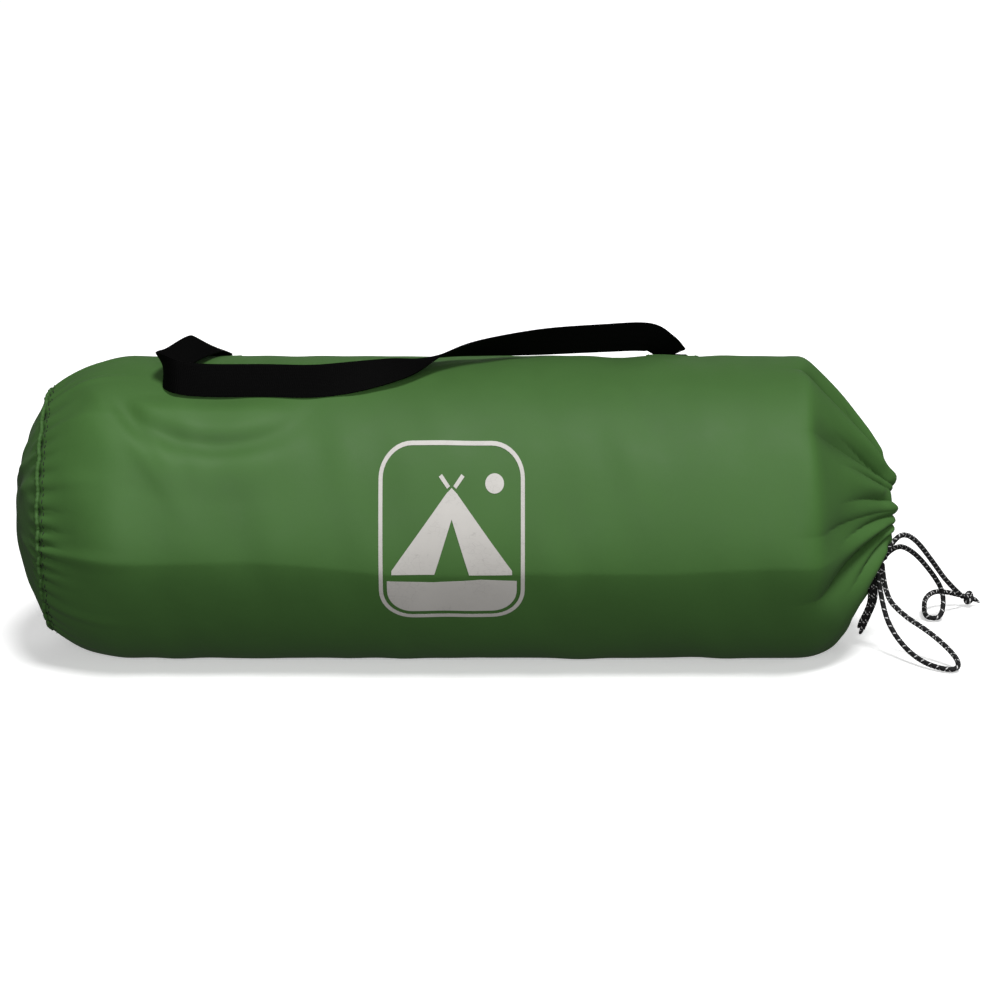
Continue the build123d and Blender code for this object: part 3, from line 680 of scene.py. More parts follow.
def cloth_finish(name, colour, pitch=0.55, paint_fold_shade_and_highlight=False, rough=0.56, sheen=0.03):
    """Coated plain-weave polyester, optionally with painted shade in the valleys of its folds and a painted
    highlight on their ridges.
    """
    made = Finish(name, Sheen_Weight=sheen, Sheen_Roughness=0.45, Specular_IOR_Level=0.22)
    across, along, _ = made.uv()
    turn = 2 * math.pi / (pitch * MM)
    warp, weft = (across * turn).sin(), (along * turn).sin()
    weave = warp * weft
    slub = made.noise(900.0, 1.0, made.stretched(made.place(), (0.12, 1.0, 1.0)))
    broad = made.noise(7.0, 3.0)
    fine = made.noise(60.0, 4.0, rough=0.6)
    tone = made.blend((broad - 0.32) * 2.2, shade(colour, 0.93), shade(colour, 1.06))
    tone = made.blend((fine - 0.4) * 0.8, tone, shade(colour, 1.10))
    tone = made.blend((weave * 0.5 + 0.5) * 0.30, tone, shade(colour, 0.78))
    # painted shade and painted highlight, from the fold heights kept with the points
    if paint_fold_shade_and_highlight:
        fold_shade_and_highlight = made.kept("fold_shade_and_highlight")
        # painted shade: darker in the valleys of folds and creases, the hollow under the strap among them
        tone = made.blend((fold_shade_and_highlight * -0.16).smaller(0.5).larger(0.0), tone, shade(colour, 0.62))
        # painted highlight: lighter on the tops of the ridges, such as the long fold where the bag turns under
        tone = made.blend((fold_shade_and_highlight * 0.05 - 0.1).smaller(0.22).larger(0.0), tone, shade(colour, 1.35))
    bumps = made.bump(weave + slub * 0.6, 0.22, 0.00008)
    bumps = made.bump(made.noise(26.0, 4.0, rough=0.55), 0.16, 0.0022, bumps)
    made.set(Base_Color=tone, Roughness=(fine - 0.5) * 0.16 + (broad - 0.5) * 0.12 + rough, Normal=bumps)
    return made.material


def ink_finish(name, colour):
    """Screen print, with the weave and hairline cracks through it."""
    made = Finish(name, Specular_IOR_Level=0.35)
    across, _, up = made.split(made.place())
    turn = 2 * math.pi / (0.55 * MM)
    weave = (across * turn).sin() * (up * turn).sin()
    cracks = made.node("ShaderNodeTexVoronoi", {"feature": "DISTANCE_TO_EDGE"},
                       {"Vector": made.stretched(made.place(), (1.0, 0.5, 1.6)), "Scale": 210.0})
    worn = made.noise(38.0, 5.0, rough=0.65)
    tone = made.blend((worn - 0.42) * 1.6, colour, shade(colour, 0.88))
    tone = made.blend((0.035 - cracks) * 12.0 * (worn > 0.52), tone, shade(colour, 0.6))
    made.set(Base_Color=tone, Roughness=worn * 0.2 + 0.42, Normal=made.bump(weave - worn, 0.2, 0.00008))
    return made.material


def braid_finish(name, colour, fleck, pitch=7.4):
    """Braided cord with pairs of reflective flecks in it."""
    made = Finish(name, Sheen_Weight=0.03, Specular_IOR_Level=0.25)
    across, along, _ = made.uv()
    turn = across * (1.0 / (2 * math.pi * CORD_R * MM))
    run = along * (1.0 / MM)
    left = (turn * (8 * math.pi) + run * (2 * math.pi / 3.4)).sin()
    right = (turn * (8 * math.pi) - run * (2 * math.pi / 3.4)).sin()
    strands = left.larger(right)
    yarn = (turn * (56 * math.pi) + run * 9.0).sin()
    slant = (run / pitch + turn).fract()
    back = (run / pitch - turn + 0.30).fract()
    side = (turn * 4.0).fract()
    one = (slant < 0.13) * (side > 0.12) * (side < 0.80)
    two = (back < 0.09) * (side > 0.2) * (side < 0.88) * ((turn * 2.0).fract() > 0.5)
    marks = one.larger(two)
    tone = made.blend(strands * 0.5 + 0.5, shade(colour, 0.55), shade(colour, 1.5))
    tone = made.blend(yarn * 0.25 + 0.25, tone, shade(colour, 2.2))
    tone = made.blend(marks, tone, made.blend(yarn * 0.3 + 0.3, fleck, shade(fleck, 0.7)))
    made.set(Base_Color=tone, Roughness=0.62 - marks * 0.27,
             Normal=made.bump(strands + yarn * 0.3, 0.4, 0.00025))
    return made.material


def webbing_finish(name, colour, width=STRAP_W):
    """Woven strap: herringbone ribs, denser selvedges."""
    made = Finish(name, Sheen_Weight=0.0, Sheen_Roughness=0.4, Specular_IOR_Level=0.05)
    across, along, _ = made.uv()
    rib = (along * (2 * math.pi / 0.0017) + (across * (2 * math.pi / 0.0062)).sin() * 1.5).sin()
    yarn = (across * (2 * math.pi / 0.0011)).sin()
    edge = ((across * (1 / MM) - width / 2).size() - (width / 2 - 1.6)).larger(0.0).smaller(1.0)
    fuzz = made.noise(420.0, 3.0, rough=0.7)
    tone = made.blend(rib * 0.5 + 0.5, shade(colour, 0.55), shade(colour, 1.35))
    tone = made.blend(yarn * 0.2 + 0.2, tone, shade(colour, 1.7))
    tone = made.blend(edge * 0.4, tone, shade(colour, 0.7))
    tone = made.blend((fuzz - 0.55) * 0.7, tone, shade(colour, 3.2))
    made.set(Base_Color=tone, Roughness=fuzz * 0.2 + 0.58,
             Normal=made.bump(rib * 0.8 + yarn * 0.5, 0.45, 0.00022))
    return made.material


def thread_finish(name, colour):
    """Twisted sewing thread."""
    made = Finish(name, Specular_IOR_Level=0.45)
    x, y, z = made.split(made.place())
    twist = ((x + y + z) * (2 * math.pi / 0.0007)).sin()
    fuzz = made.noise(900.0, 2.0)
    tone = made.blend(twist * 0.5 + 0.5, shade(colour, 0.6), shade(colour, 1.5))
    made.set(Base_Color=made.blend(fuzz * 0.3, tone, shade(colour, 1.8)), Roughness=fuzz * 0.2 + 0.45,
             Normal=made.bump(twist, 0.3, 0.0001))
    return made.material


def rod_finish(name, colour):
    """Pultruded glass-fibre rod: long streaks under a clear resin."""
    made = Finish(name, Coat_Roughness=0.15, Specular_IOR_Level=0.5)
    streaks = made.noise(520.0, 4.0, made.stretched(made.place(), (0.012, 1.0, 1.0)), 0.6)
    rub = made.noise(34.0, 3.0)
    tone = made.blend(streaks, shade(colour, 0.5), shade(colour, 2.4))
    made.set(Base_Color=tone, Roughness=rub * 0.25 + 0.22, Coat_Weight=0.5 - rub * 0.3,
             Normal=made.bump(streaks, 0.25, 0.0001))
    return made.material


def steel_finish(name, colour):
    """Drawn and plated steel, with fine lines and light wear."""
    made = Finish(name)
    lines = made.noise(1500.0, 3.0, made.stretched(made.place(), (0.02, 1.0, 1.0)), 0.6)
    spots = made.noise(75.0, 4.0, rough=0.65)
    tone = made.blend(lines, shade(colour, 0.8), shade(colour, 1.12))
    tone = made.blend((spots - 0.6) * 3.0, tone, shade(colour, 0.5))
    made.set(Base_Color=tone, Metallic=1.0 - (spots > 0.68) * 0.35,
             Roughness=lines * 0.14 + spots * 0.16 + 0.14, Normal=made.bump(lines, 0.12, 0.00005))
    return made.material


def small_cord_finish(name, colour, fleck, pitch):
    """Thin braided cord on the frame's own pieces."""
    made = Finish(name, Sheen_Weight=0.1)
    x, y, z = made.split(made.place())
    left = ((x + y * 1.2 + z) * (2 * math.pi / pitch)).sin()
    right = ((x - y * 1.2 - z) * (2 * math.pi / pitch)).sin()
    strands = left.larger(right)
    marks = made.noise(340.0, 1.0) > 0.62
    tone = made.blend(strands * 0.5 + 0.5, shade(colour, 0.6), shade(colour, 1.25))
    tone = made.blend(marks * 0.9, tone, fleck)
    made.set(Base_Color=tone, Roughness=strands * 0.08 + 0.62, Normal=made.bump(strands, 0.5, 0.0003))
    return made.material


def plastic_finish(name, colour):
    """Moulded plastic with a fine spark texture."""
    made = Finish(name, Specular_IOR_Level=0.5)
    grain = made.noise(1600.0, 2.0)
    flow = made.noise(22.0, 3.0)
    tone = made.blend(flow * 0.7, shade(colour, 0.85), shade(colour, 1.3))
    made.set(Base_Color=tone, Roughness=grain * 0.16 + 0.36, Normal=made.bump(grain, 0.2, 0.00008))
    return made.material


FINISHES = {}


# ---- settings ----------------------------------------------------------------
def colour_choice(name, description, default):
    """A colour that a user may change."""
    return FloatVectorProperty(name=name, description=description, default=default, subtype="COLOR",
                               min=0, max=1)


class PACKED_PG_bag(bpy.types.PropertyGroup):
    cloth: colour_choice("Cloth", "Colour of the bag's coated cloth", (0.058, 0.146, 0.034))
    print_colour: colour_choice("Print", "Colour of the printed mark", (0.58, 0.56, 0.53))
    fold_depth: FloatProperty(name="Fold depth", description="Depth of the creases of the full bag",
                              default=1.0, min=0.0, max=1.5, subtype="FACTOR")
    pleats: IntProperty(name="Pleats", description="Pleats that the drawcord gathers", default=22,
                        min=12, max=36)
    cloth_thickness: FloatProperty(name="Cloth thickness", description="Thickness of the bag's cloth",
                                   default=0.0009, min=0.0004, max=0.0012, unit="LENGTH")


class PACKED_PG_cord(bpy.types.PropertyGroup):
    cord: colour_choice("Cord", "Colour of the drawcord's yarn", (0.0065, 0.0065, 0.007))
    fleck: colour_choice("Fleck", "Colour of the reflective yarn", (0.80, 0.80, 0.80))
    radius: FloatProperty(name="Radius", description="Radius of the drawcord", default=CORD_R * MM,
                          min=0.0015, max=0.0022, unit="LENGTH")


class PACKED_PG_strap(bpy.types.PropertyGroup):
    webbing: colour_choice("Webbing", "Colour of the carry strap", (0.0006, 0.0006, 0.0006))
    thread: colour_choice("Thread", "Colour of the sewing thread", (0.020, 0.030, 0.018))
    thickness: FloatProperty(name="Thickness", description="Thickness of the strap", default=STRAP_T * MM,
                             min=0.001, max=0.0022, unit="LENGTH")


class PACKED_PG_contents(bpy.types.PropertyGroup):
    flysheet: colour_choice("Flysheet", "Colour of the rolled flysheet", (0.085, 0.160, 0.060))
    inner: colour_choice("Inner tent", "Colour of the rolled inner tent", (0.42, 0.43, 0.41))
    small_bags: colour_choice("Small bags", "Colour of the pole bag and the peg bag", (0.045, 0.085, 0.036))
    layers: IntProperty(name="Layers", description="Turns of each rolled cloth", default=7, min=4, max=8)


class PACKED_PG_studio(bpy.types.PropertyGroup):
    floor: colour_choice("Floor", "Colour of the floor", (0.88, 0.88, 0.88))
    key: FloatProperty(name="Key light", description="Strength of the high light", default=2.35, min=0,
                       soft_max=10)
    fill: FloatProperty(name="Front light", description="Power of the wide front light", default=29.5, min=0,
                        unit="POWER")


class PACKED_PG_settings(bpy.types.PropertyGroup):
    bag: PointerProperty(type=PACKED_PG_bag, name="Bag", description="Settings of the bag")
    cord: PointerProperty(type=PACKED_PG_cord, name="Drawcord", description="Settings of the drawcord")
    strap: PointerProperty(type=PACKED_PG_strap, name="Strap", description="Settings of the strap")
    contents: PointerProperty(type=PACKED_PG_contents, name="Contents",
                              description="Settings of the tent roll")
    studio: PointerProperty(type=PACKED_PG_studio, name="Studio", description="Settings of floor and lights")


# ---- operators ---------------------------------------------------------------
class PACKED_OT_camera(bpy.types.Operator):
    """Set up the camera in front of the bag and a little above it"""
    bl_idname = "packed.camera"
    bl_label = "Camera"

    def execute(self, context):
        data = bpy.data.cameras.new("studio_camera")
        data.lens, data.sensor_width = 120.0, 36.0
        camera = bpy.data.objects.new("studio_camera", data)
        context.collection.objects.link(camera)
        target = Vector((0.036, 0.0, 0.115))
        lift = math.radians(14)
        camera.location = target + Vector((0, -2.6 * math.cos(lift), 2.6 * math.sin(lift)))
        camera.rotation_euler = (target - camera.location).to_track_quat("-Z", "Y").to_euler()
        context.scene.camera = camera
        return {"FINISHED"}


class PACKED_OT_finishes(bpy.types.Operator):
    """Make the finish of every cloth, cord, thread, rod and fitting"""
    bl_idname = "packed.finishes"
    bl_label = "Finishes"

    def execute(self, context):
        choice = context.scene.packed_tent
        bag, strap, cord, inside = choice.bag, choice.strap, choice.cord, choice.contents
        FINISHES.update({
            # the bag's own cloth carries painted shade in fold valleys and a painted highlight on fold ridges;
            # the patch cloth has neither
            "bag_cloth": cloth_finish("bag_cloth", tuple(bag.cloth), paint_fold_shade_and_highlight=True, rough=0.56, sheen=0.02),
            "patch_cloth": cloth_finish("patch_cloth", tuple(bag.cloth), rough=0.56, sheen=0.02),
            "print_ink": ink_finish("print_ink", tuple(bag.print_colour)),
            "drawcord": braid_finish("drawcord", tuple(cord.cord), tuple(cord.fleck)),
            "webbing": webbing_finish("webbing", tuple(strap.webbing)),
            "thread": thread_finish("thread", tuple(strap.thread)),
            "dark_thread": thread_finish("dark_thread", (0.012, 0.016, 0.011)),
            "flysheet_cloth": cloth_finish("flysheet_cloth", tuple(inside.flysheet), 0.5, rough=0.42),
            "inner_cloth": cloth_finish("inner_cloth", tuple(inside.inner), 0.8, rough=0.7),
            "small_bag_cloth": cloth_finish("small_bag_cloth", tuple(inside.small_bags), 0.6, rough=0.55),
            "fibreglass": rod_finish("fibreglass", (0.018, 0.018, 0.020)),
            "ferrule_steel": steel_finish("ferrule_steel", (0.60, 0.61, 0.63)),
            "peg_steel": steel_finish("peg_steel", (0.52, 0.53, 0.54)),
            "shock_cord": small_cord_finish("shock_cord", (0.55, 0.55, 0.53), (0.05, 0.05, 0.05), 0.0016),
            "guy_cord": small_cord_finish("guy_cord", (0.50, 0.19, 0.025), (0.75, 0.75, 0.72), 0.0024),
            "runner_plastic": plastic_finish("runner_plastic", (0.030, 0.030, 0.032)),
        })
        kept = {
            "pole_segments_a": "fibreglass", "pole_segments_b": "fibreglass", "ferrules_a": "ferrule_steel",
            "ferrules_b": "ferrule_steel", "pole_tips_a": "ferrule_steel", "pole_tips_b": "ferrule_steel",
            "shock_cord_a": "shock_cord", "shock_cord_b": "shock_cord", "pegs": "peg_steel",
            "guy_hanks": "guy_cord", "guy_runners": "runner_plastic",
        }
        for node, finish in kept.items():
            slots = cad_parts[node].material_slots
            if not slots:
                raise RuntimeError(f"{node} has no material slot")
            for slot in slots:
                slot.material = FINISHES[finish]
        return {"FINISHED"}


ROUTES = {
    "cord_arc": ((337.4, -10.39, 75.77), (343, -7.79, 84.81), (352, -0.29, 88.32), (364, 16.21, 78.28),
                 (381, 46.21, 53.19), (399, 79.21, 25.09), (414, 97.21, 9.03)),
    "cord_slack": ((335.6, -7.79, 70.76), (345, 0.21, 79.29), (362, 23.21, 68.25), (382, 55.21, 41.65),
                   (395, 73.21, 19.57), (391.5, 56.21, 3.2), (380.5, 57.21, 2.6), (378.5, 69.21, 4.51),
                   (381, 85.21, 13.04), (395, 101.21, 14.55), (413, 104.21, 8.52)),
    "cord_loop": ((333.5, -16.19, 68.85), (335.5, -18.19, 44.16), (348, -30.19, 31.11), (370, -51.19, 21.07),
                  (386, -71.19, 9.03), (387, -83.19, 3.2), (377, -85.19, 2.3), (358, -67.19, 4.01),
                  (342, -41.19, 16.05), (333, -25.19, 36.13), (329, -17.39, 69.25)),
    "cord_tail_long": ((328, -9.39, 69.45), (328.5, -9.69, 50.18), (330, -11.19, 39.14), (326, -10.19, 27.09),
                       (318.5, -7.19, 8.02)),
    "cord_tail_short": ((325.4, -13.39, 70.86), (324.5, -15.19, 50.18), (325.5, -16.19, 38.13),
                        (322, -14.69, 27.09), (316.5, -12.19, 14.55)),
}
FAR_ENDS = {"cord_arc": "knot", "cord_slack": "knot", "cord_loop": "object", "cord_tail_long": "bare",
            "cord_tail_short": "bare"}


class PACKED_OT_drawcord(bpy.types.Operator):
    """Braid the drawcord's five strands and its turn inside the hem"""
    bl_idname = "packed.drawcord"
    bl_label = "Drawcord"

    def execute(self, context):
        radius = context.scene.packed_tent.cord.radius / MM
        for name, points in ROUTES.items():
            line = even(route(name, points), 0.42)
            total = run_of(line)[-1]
            bare = FAR_ENDS[name] == "bare"

            def ending(at):
                """A cut end, melted to a blunt cone."""
                return 1 - 0.35 * step01(at, total - 7, total - 0.5) * bare

            piece = tube(name + "_braid", line, radius, 24, relief=braid, taper=ending)
            settle_cord(piece, name)
        around = np.linspace(0, 2 * math.pi, 361)[:-1]
        ring = np.stack([np.full(360, HEM_X), HEM_R * np.sin(around), AXIS_Z + HEM_R * np.cos(around)], 1)
        piece = tube("drawcord_in_hem", ring, radius, 16, closed=True, relief=braid)
        settle_cord(piece, "drawcord_ring")
        return {"FINISHED"}


def overhand(size, flat):
    """Line of an overhand knot."""
    t = np.linspace(0, 2 * math.pi, 241)[:-1]
    return np.stack([(np.sin(t) + 2 * np.sin(2 * t)) * size, (np.cos(t) - 2 * np.cos(2 * t)) * size,
                     -np.sin(3 * t) * size * flat], 1)


def turned(line, middle, tilt, spin):
    """A line turned about X by tilt and about Z by spin, in degrees, and moved to its middle."""
    a, b = math.radians(tilt), math.radians(spin)
    about_x = np.array([[1, 0, 0], [0, math.cos(a), -math.sin(a)], [0, math.sin(a), math.cos(a)]])
    about_z = np.array([[math.cos(b), -math.sin(b), 0], [math.sin(b), math.cos(b), 0], [0, 0, 1]])
    return line @ (about_z @ about_x).T + np.array(middle)


class PACKED_OT_knots(bpy.types.Operator):
    """Tie the bow at the hem and the knot at the far end of the cord"""
    bl_idname = "packed.knots"
    bl_label = "Knots"

    def execute(self, context):
        radius = context.scene.packed_tent.cord.radius / MM
        bow = tube("bow_core", even(turned(overhand(1.72, 1.5), KNOT, 70, 35), 0.4), radius * 0.98, 20,
                   closed=True, relief=braid)
        t = np.linspace(0, 2 * math.pi, 121)[:-1]
        wrap = np.stack([3.4 * np.cos(t), 4.6 * np.sin(t), 1.2 * np.sin(2 * t)], 1)
        x, y, z = KNOT
        wrap = tube("bow_wrap", turned(wrap, (x + 0.6, y - 1.2, z - 0.6), 12, 60), radius, 20,
                    closed=True, relief=braid)
        lead = even(glide([(HEM_X, -8.6, 85.6), (331.2, -10.4, 80.5), (331, -12.2, 76.0)], 12), 0.4)
        lead = tube("bow_lead", lead, radius, 20, relief=braid)
        bow = join("drawcord_bow", [bow, wrap, lead])
        settle_cord(bow, "drawcord_knot")

        x, y, z = END_KNOT
        knot = tube("tip_core", even(turned(overhand(1.42, 1.4), (x - 0.6, y, z + 0.1), 35, 20), 0.4),
                    radius * 0.95, 20, closed=True, relief=braid)
        tip = glide([(x + 0.5, y, z), (x + 4.5, y + 1.0, z - 1.6), (x + 9.5, y + 1.0, z - 4.6)], 12)
        tip = even(tip, 0.4)
        length = run_of(tip)[-1]
        tip = tube("tip_end", tip, radius * 0.95, 20, relief=braid,
                   taper=lambda at: 1 - 0.55 * step01(at, length - 6, length))
        knot = join("drawcord_end_knot", [knot, tip])
        settle_cord(knot, "end_knot")
        return {"FINISHED"}


class PACKED_OT_bag_cloth(bpy.types.Operator):
    """Roll the flat cut of cloth round the pack, gather its mouth and close its round base"""
    bl_idname = "packed.bag_cloth"
    bl_label = "Bag cloth"

    def cut(self, name, choice, start, end, rows):
        """One length of the bag's cloth, from one distance along it to another."""
        piece, u, v = flat_cut(name, 384, rows, (2 * math.pi * BAG_R, end - start))
        turn = SEAM_TURN + u * 2 * math.pi
        run = start + v * (end - start)
        points, off = skin(run, turn, 0, choice.fold_depth, choice.pleats)
        put_points(piece, points)
        # the fold heights drive the bag_cloth finish's painted shade in valleys and painted highlight on ridges
        note(piece, "fold_shade_and_highlight", off)
        keep_normals(piece, skin_normals(run, turn, choice.fold_depth, choice.pleats))
        sew(piece)
        smooth(piece)
        thicken(piece, choice.cloth_thickness / MM)
        use_normals(piece)
        return piece

    def execute(self, context):
        choice = context.scene.packed_tent.bag
        tube_cloth = self.cut("bag_tube_cloth", choice, 0.0, RUN_MOUTH, 122)
        settle(tube_cloth, FINISHES["bag_cloth"], stands_for=("bag_tube",))
        mouth = self.cut("gathered_mouth", choice, RUN_MOUTH, RUN_END, 84)
        settle(mouth, FINISHES["bag_cloth"], stands_for=("mouth_gather", "hem_casing"))
        settle_mouth(mouth)

        base, u, v = flat_cut("base_cloth", 110, 110, (2 * 96.0, 2 * 96.0))
        a, b = 2 * u - 1, 2 * v - 1
        across, up = a * np.sqrt(1 - b * b / 2), b * np.sqrt(1 - a * a / 2)
        share = np.hypot(across, up)
        turn = np.arctan2(-across, up)
        dome_r = 165.1
        x = (BASE_TIP + dome_r) - np.sqrt(dome_r ** 2 - (share * BASE_R) ** 2)
        crease = np.clip(np.cos(11 * turn + 0.8 * np.sin(2 * turn)), 0, 1) ** 4
        off = 1.5 * puff(base_beat(turn), 1.2) * step01(share, 0.80, 0.97)
        off += 1.6 * crease * bell(share - 0.72, 0.16)
        off += 1.3 * ripple(across * 90, up * 2.1, 5, 6, 120, 40) * (1 - share ** 4)
        off += 2.0 * bell(across * 0.5 + up - 0.25, 0.05) * bell(across + 0.45, 0.3)
        off -= 1.0 * bell(across * 0.5 + up - 0.13, 0.06) * bell(across + 0.4, 0.35)
        z = AXIS_Z + up * BASE_R
        put_points(base, np.stack([x - off + 1.2 * step01(share, 0.97, 1.0), across * BASE_R, z], 1))
        # the base's fold heights drive the same painted shade in valleys and painted highlight on ridges
        note(base, "fold_shade_and_highlight", off)
        edit_all(base, bpy.ops.mesh.flip_normals)
        middle = base.data.polygons[len(base.data.polygons) // 2]
        if middle.normal.x > 0:
            raise RuntimeError("the base faces inwards")
        smooth(base)
        thicken(base, choice.cloth_thickness / MM)
        settle(base, FINISHES["bag_cloth"], stands_for=("base_panel",))
        return {"FINISHED"}


def stitch_master(length, width, height):
    """One stitch: a rounded bar that dips at its ends."""
    let_go()
    bpy.ops.mesh.primitive_cylinder_add(vertices=6, radius=0.5 * MM, depth=1.0 * MM, end_fill_type="NGON")
    piece = bpy.context.object
    edit_all(piece, bpy.ops.mesh.subdivide, number_cuts=2)
    p = points_of(piece)
    along = p[:, 2] * 2
    size = np.sqrt(np.maximum(1 - (np.abs(along) * 0.93) ** 4, 0.05))
    put_points(piece, np.stack([along * length / 2, p[:, 0] * width * size,
                                p[:, 1] * height * size + 0.25 * height * (1 - along ** 2)], 1))
    smooth(piece, 50)
    return piece


class PACKED_OT_seams(bpy.types.Operator):
    """Sew the puckered base seam and the felled seam along the rear"""
    bl_idname = "packed.seams"
    bl_label = "Seams"

    def execute(self, context):
        turn = np.linspace(0, 2 * math.pi, 721)[:-1]
        beat = base_beat(turn)
        r = BASE_R + 0.4 + 0.9 * puff(beat, 1.2)
        x = BASE_X - 0.6 + 0.5 * np.sin(beat * 0.5)
        line = np.stack([x, -r * np.sin(turn), AXIS_Z + r * np.cos(turn)], 1)
        bead = tube("base_seam_bead", line, 1.7, 12, closed=True,
                    relief=lambda a, at: 0.12 * np.sin(at * 2 * math.pi / 4.3) + 0.06 * np.sin(at * 1.1))
        # painted shade: a fixed fold depth makes the finish paint the seam bead darker, as shade along the seam
        note(bead, "fold_shade_and_highlight", np.full(len(bead.data.vertices), -1.6))
        settle(bead, FINISHES["bag_cloth"], stands_for=("base_seam_binding",))

        count = 124
        places = [self.beside_base(2 * math.pi * k / count) for k in range(count)]
        ring = copies("base_seam_stitches", stitch_master(3.0, 0.8, 0.7), places)
        settle(ring, FINISHES["dark_thread"])

        width, length, stitch = 9.0, MOUTH_X - TUBE_LEFT, 3.2
        piece, u, v = flat_cut("rear_seam", 6, 150, (width, length))
        spread = (u - 0.5) * width / BAG_R
        run = RUN_LEFT + v * (length - 1.0)
        edge = 1 - np.abs(u - 0.5) * 2
        height = 0.15 + 0.5 * step01(edge, 0, 0.45) - 0.18 * bell(edge - 0.42, 0.12)
        pucker = 0.12 * np.sin(v * length * 2 * math.pi / stitch)
        put_points(piece, skin(run, SEAM_TURN + spread, height + pucker)[0])
        note(piece, "fold_shade_and_highlight", np.zeros(len(u)))
        smooth(piece)
        thicken(piece, 0.5)
        settle(piece, FINISHES["bag_cloth"], stands_for=("tube_seam",))
        places = []
        for side in (-1, 1):
            for k in range(154):
                x = TUBE_LEFT + stitch * (k + 0.5) + 2
                places.append(frame_on(x, SEAM_TURN + side * 2.6 / BAG_R, 0.62))
        rows = copies("rear_seam_stitches", stitch_master(2.2, 0.6, 0.5), places)
        settle(rows, FINISHES["thread"])
        return {"FINISHED"}

    def beside_base(self, turn):
        """Place of a stitch on the shoulder just beside the base seam, lying along it."""
        run, at = np.array([5.5]), np.array([turn])
        spot, normal = skin(run, at, 0.15)[0][0], skin_normals(run, at)[0]
        around = unit(np.array([0, -math.cos(turn), -math.sin(turn)]))
        around = unit(around - normal * around.dot(normal))
        return placed(around, np.cross(normal, around), normal, spot)


def rounded(width, height, corner, steps=10):
    """Outline of a rounded rectangle about the origin."""
    rows = []
    for quarter in range(4):
        cx = (width / 2 - corner) * (1, -1, -1, 1)[quarter]
        cy = (height / 2 - corner) * (1, 1, -1, -1)[quarter]
        for k in range(steps + 1):
            a = math.pi / 2 * (quarter + k / steps)
            rows.append((cx + corner * math.cos(a), cy + corner * math.sin(a)))
    return rows


def disc(middle, radius, count=28):
    """Outline of a disc."""
    return [(middle[0] + radius * math.cos(2 * math.pi * k / count),
             middle[1] + radius * math.sin(2 * math.pi * k / count)) for k in range(count)]


class PACKED_OT_print(bpy.types.Operator):
    """Print the plain tent mark on the front of the bag"""
    bl_idname = "packed.print"
    bl_label = "Print"

    def shape(self, name, outlines):
        """A flat shape with holes, as a mesh cut fine enough to bend round the bag."""
        curve = bpy.data.curves.new(name, "CURVE")
        curve.dimensions, curve.fill_mode = "2D", "BOTH"
        for outline in outlines:
            spline = curve.splines.new("POLY")
            spline.points.add(len(outline) - 1)
            for target, (x, y) in zip(spline.points, outline):
                target.co = (x * MM, y * MM, 0, 1)
            spline.use_cyclic_u = True
        piece = bpy.data.objects.new(name, curve)
        bpy.context.collection.objects.link(piece)
        hold(piece)
        bpy.ops.object.convert(target="MESH")
        piece = bpy.context.object
        bpy.ops.object.mode_set(mode="EDIT")
        for axis, reach, pitch in ((1, 68, 3.0), (0, 56, 6.0)):      # upright, then across
            for at in np.arange(-reach + pitch, reach, pitch):
                bpy.ops.mesh.select_all(action="SELECT")
                spot, normal = [0.0, 0.0, 0.0], [0.0, 0.0, 0.0]
                spot[axis], normal[axis] = at * MM, 1.0
                bpy.ops.mesh.bisect(plane_co=spot, plane_no=normal)
        bpy.ops.mesh.select_all(action="SELECT")
        bpy.ops.mesh.remove_doubles(threshold=0.02 * MM)
        bpy.ops.object.mode_set(mode="OBJECT")
        return piece

    def execute(self, context):
        width, height, corner, line = MARK_W, MARK_H, MARK_CORNER, MARK_LINE
        rim = [rounded(width, height, corner), rounded(width - 2 * line, height - 2 * line, corner - line)]
        inner = rounded(width - 4 * line, height - 4 * line, corner - 2 * line, 12)
        top, half = -33.0, 48.5
        lower = [p for p in inner if p[1] < top]
        ground = [(half, top), (22, top + 1.5), (-14, top - 1.2), (-half, top)]
        ground += [p for p in lower if p[0] < 0] + [p for p in lower if p[0] >= 0]
        tent = [(0, 34), (4, 30), (45, -25), (45, -28), (13, -28), (0, 12), (-13, -28), (-45, -28), (-45, -25),
                (-4, 30)]
        pole = [(1.2, 35.2), (7.2, 43.5), (9.6, 41.7), (3.4, 33.4)]
        made = [self.shape("mark_rim", rim), self.shape("mark_ground", [ground]),
                self.shape("mark_tent", [tent]), self.shape("mark_moon", [disc((32, 37), 7.0)]),
                self.shape("mark_pole_0", [pole]), self.shape("mark_pole_1", [[(-x, y) for x, y in pole]])]
        mark = join("tent_mark_print", made)
        p = points_of(mark)
        up = (p[:, 1] + MARK_UP - AXIS_Z) / (BAG_R + 0.2)
        turn = np.arccos(np.clip(up, -1, 1))
        put_points(mark, skin(bag_run(p[:, 0]), turn, 0.22)[0])
        hold(mark)
        if mark.data.polygons[0].normal.y > 0:
            mark.data.flip_normals()
        thicken(mark, 0.14, 1.0)
        smooth(mark, 35)
        settle(mark, FINISHES["print_ink"], stands_for=("print_badge",))
        return {"FINISHED"}


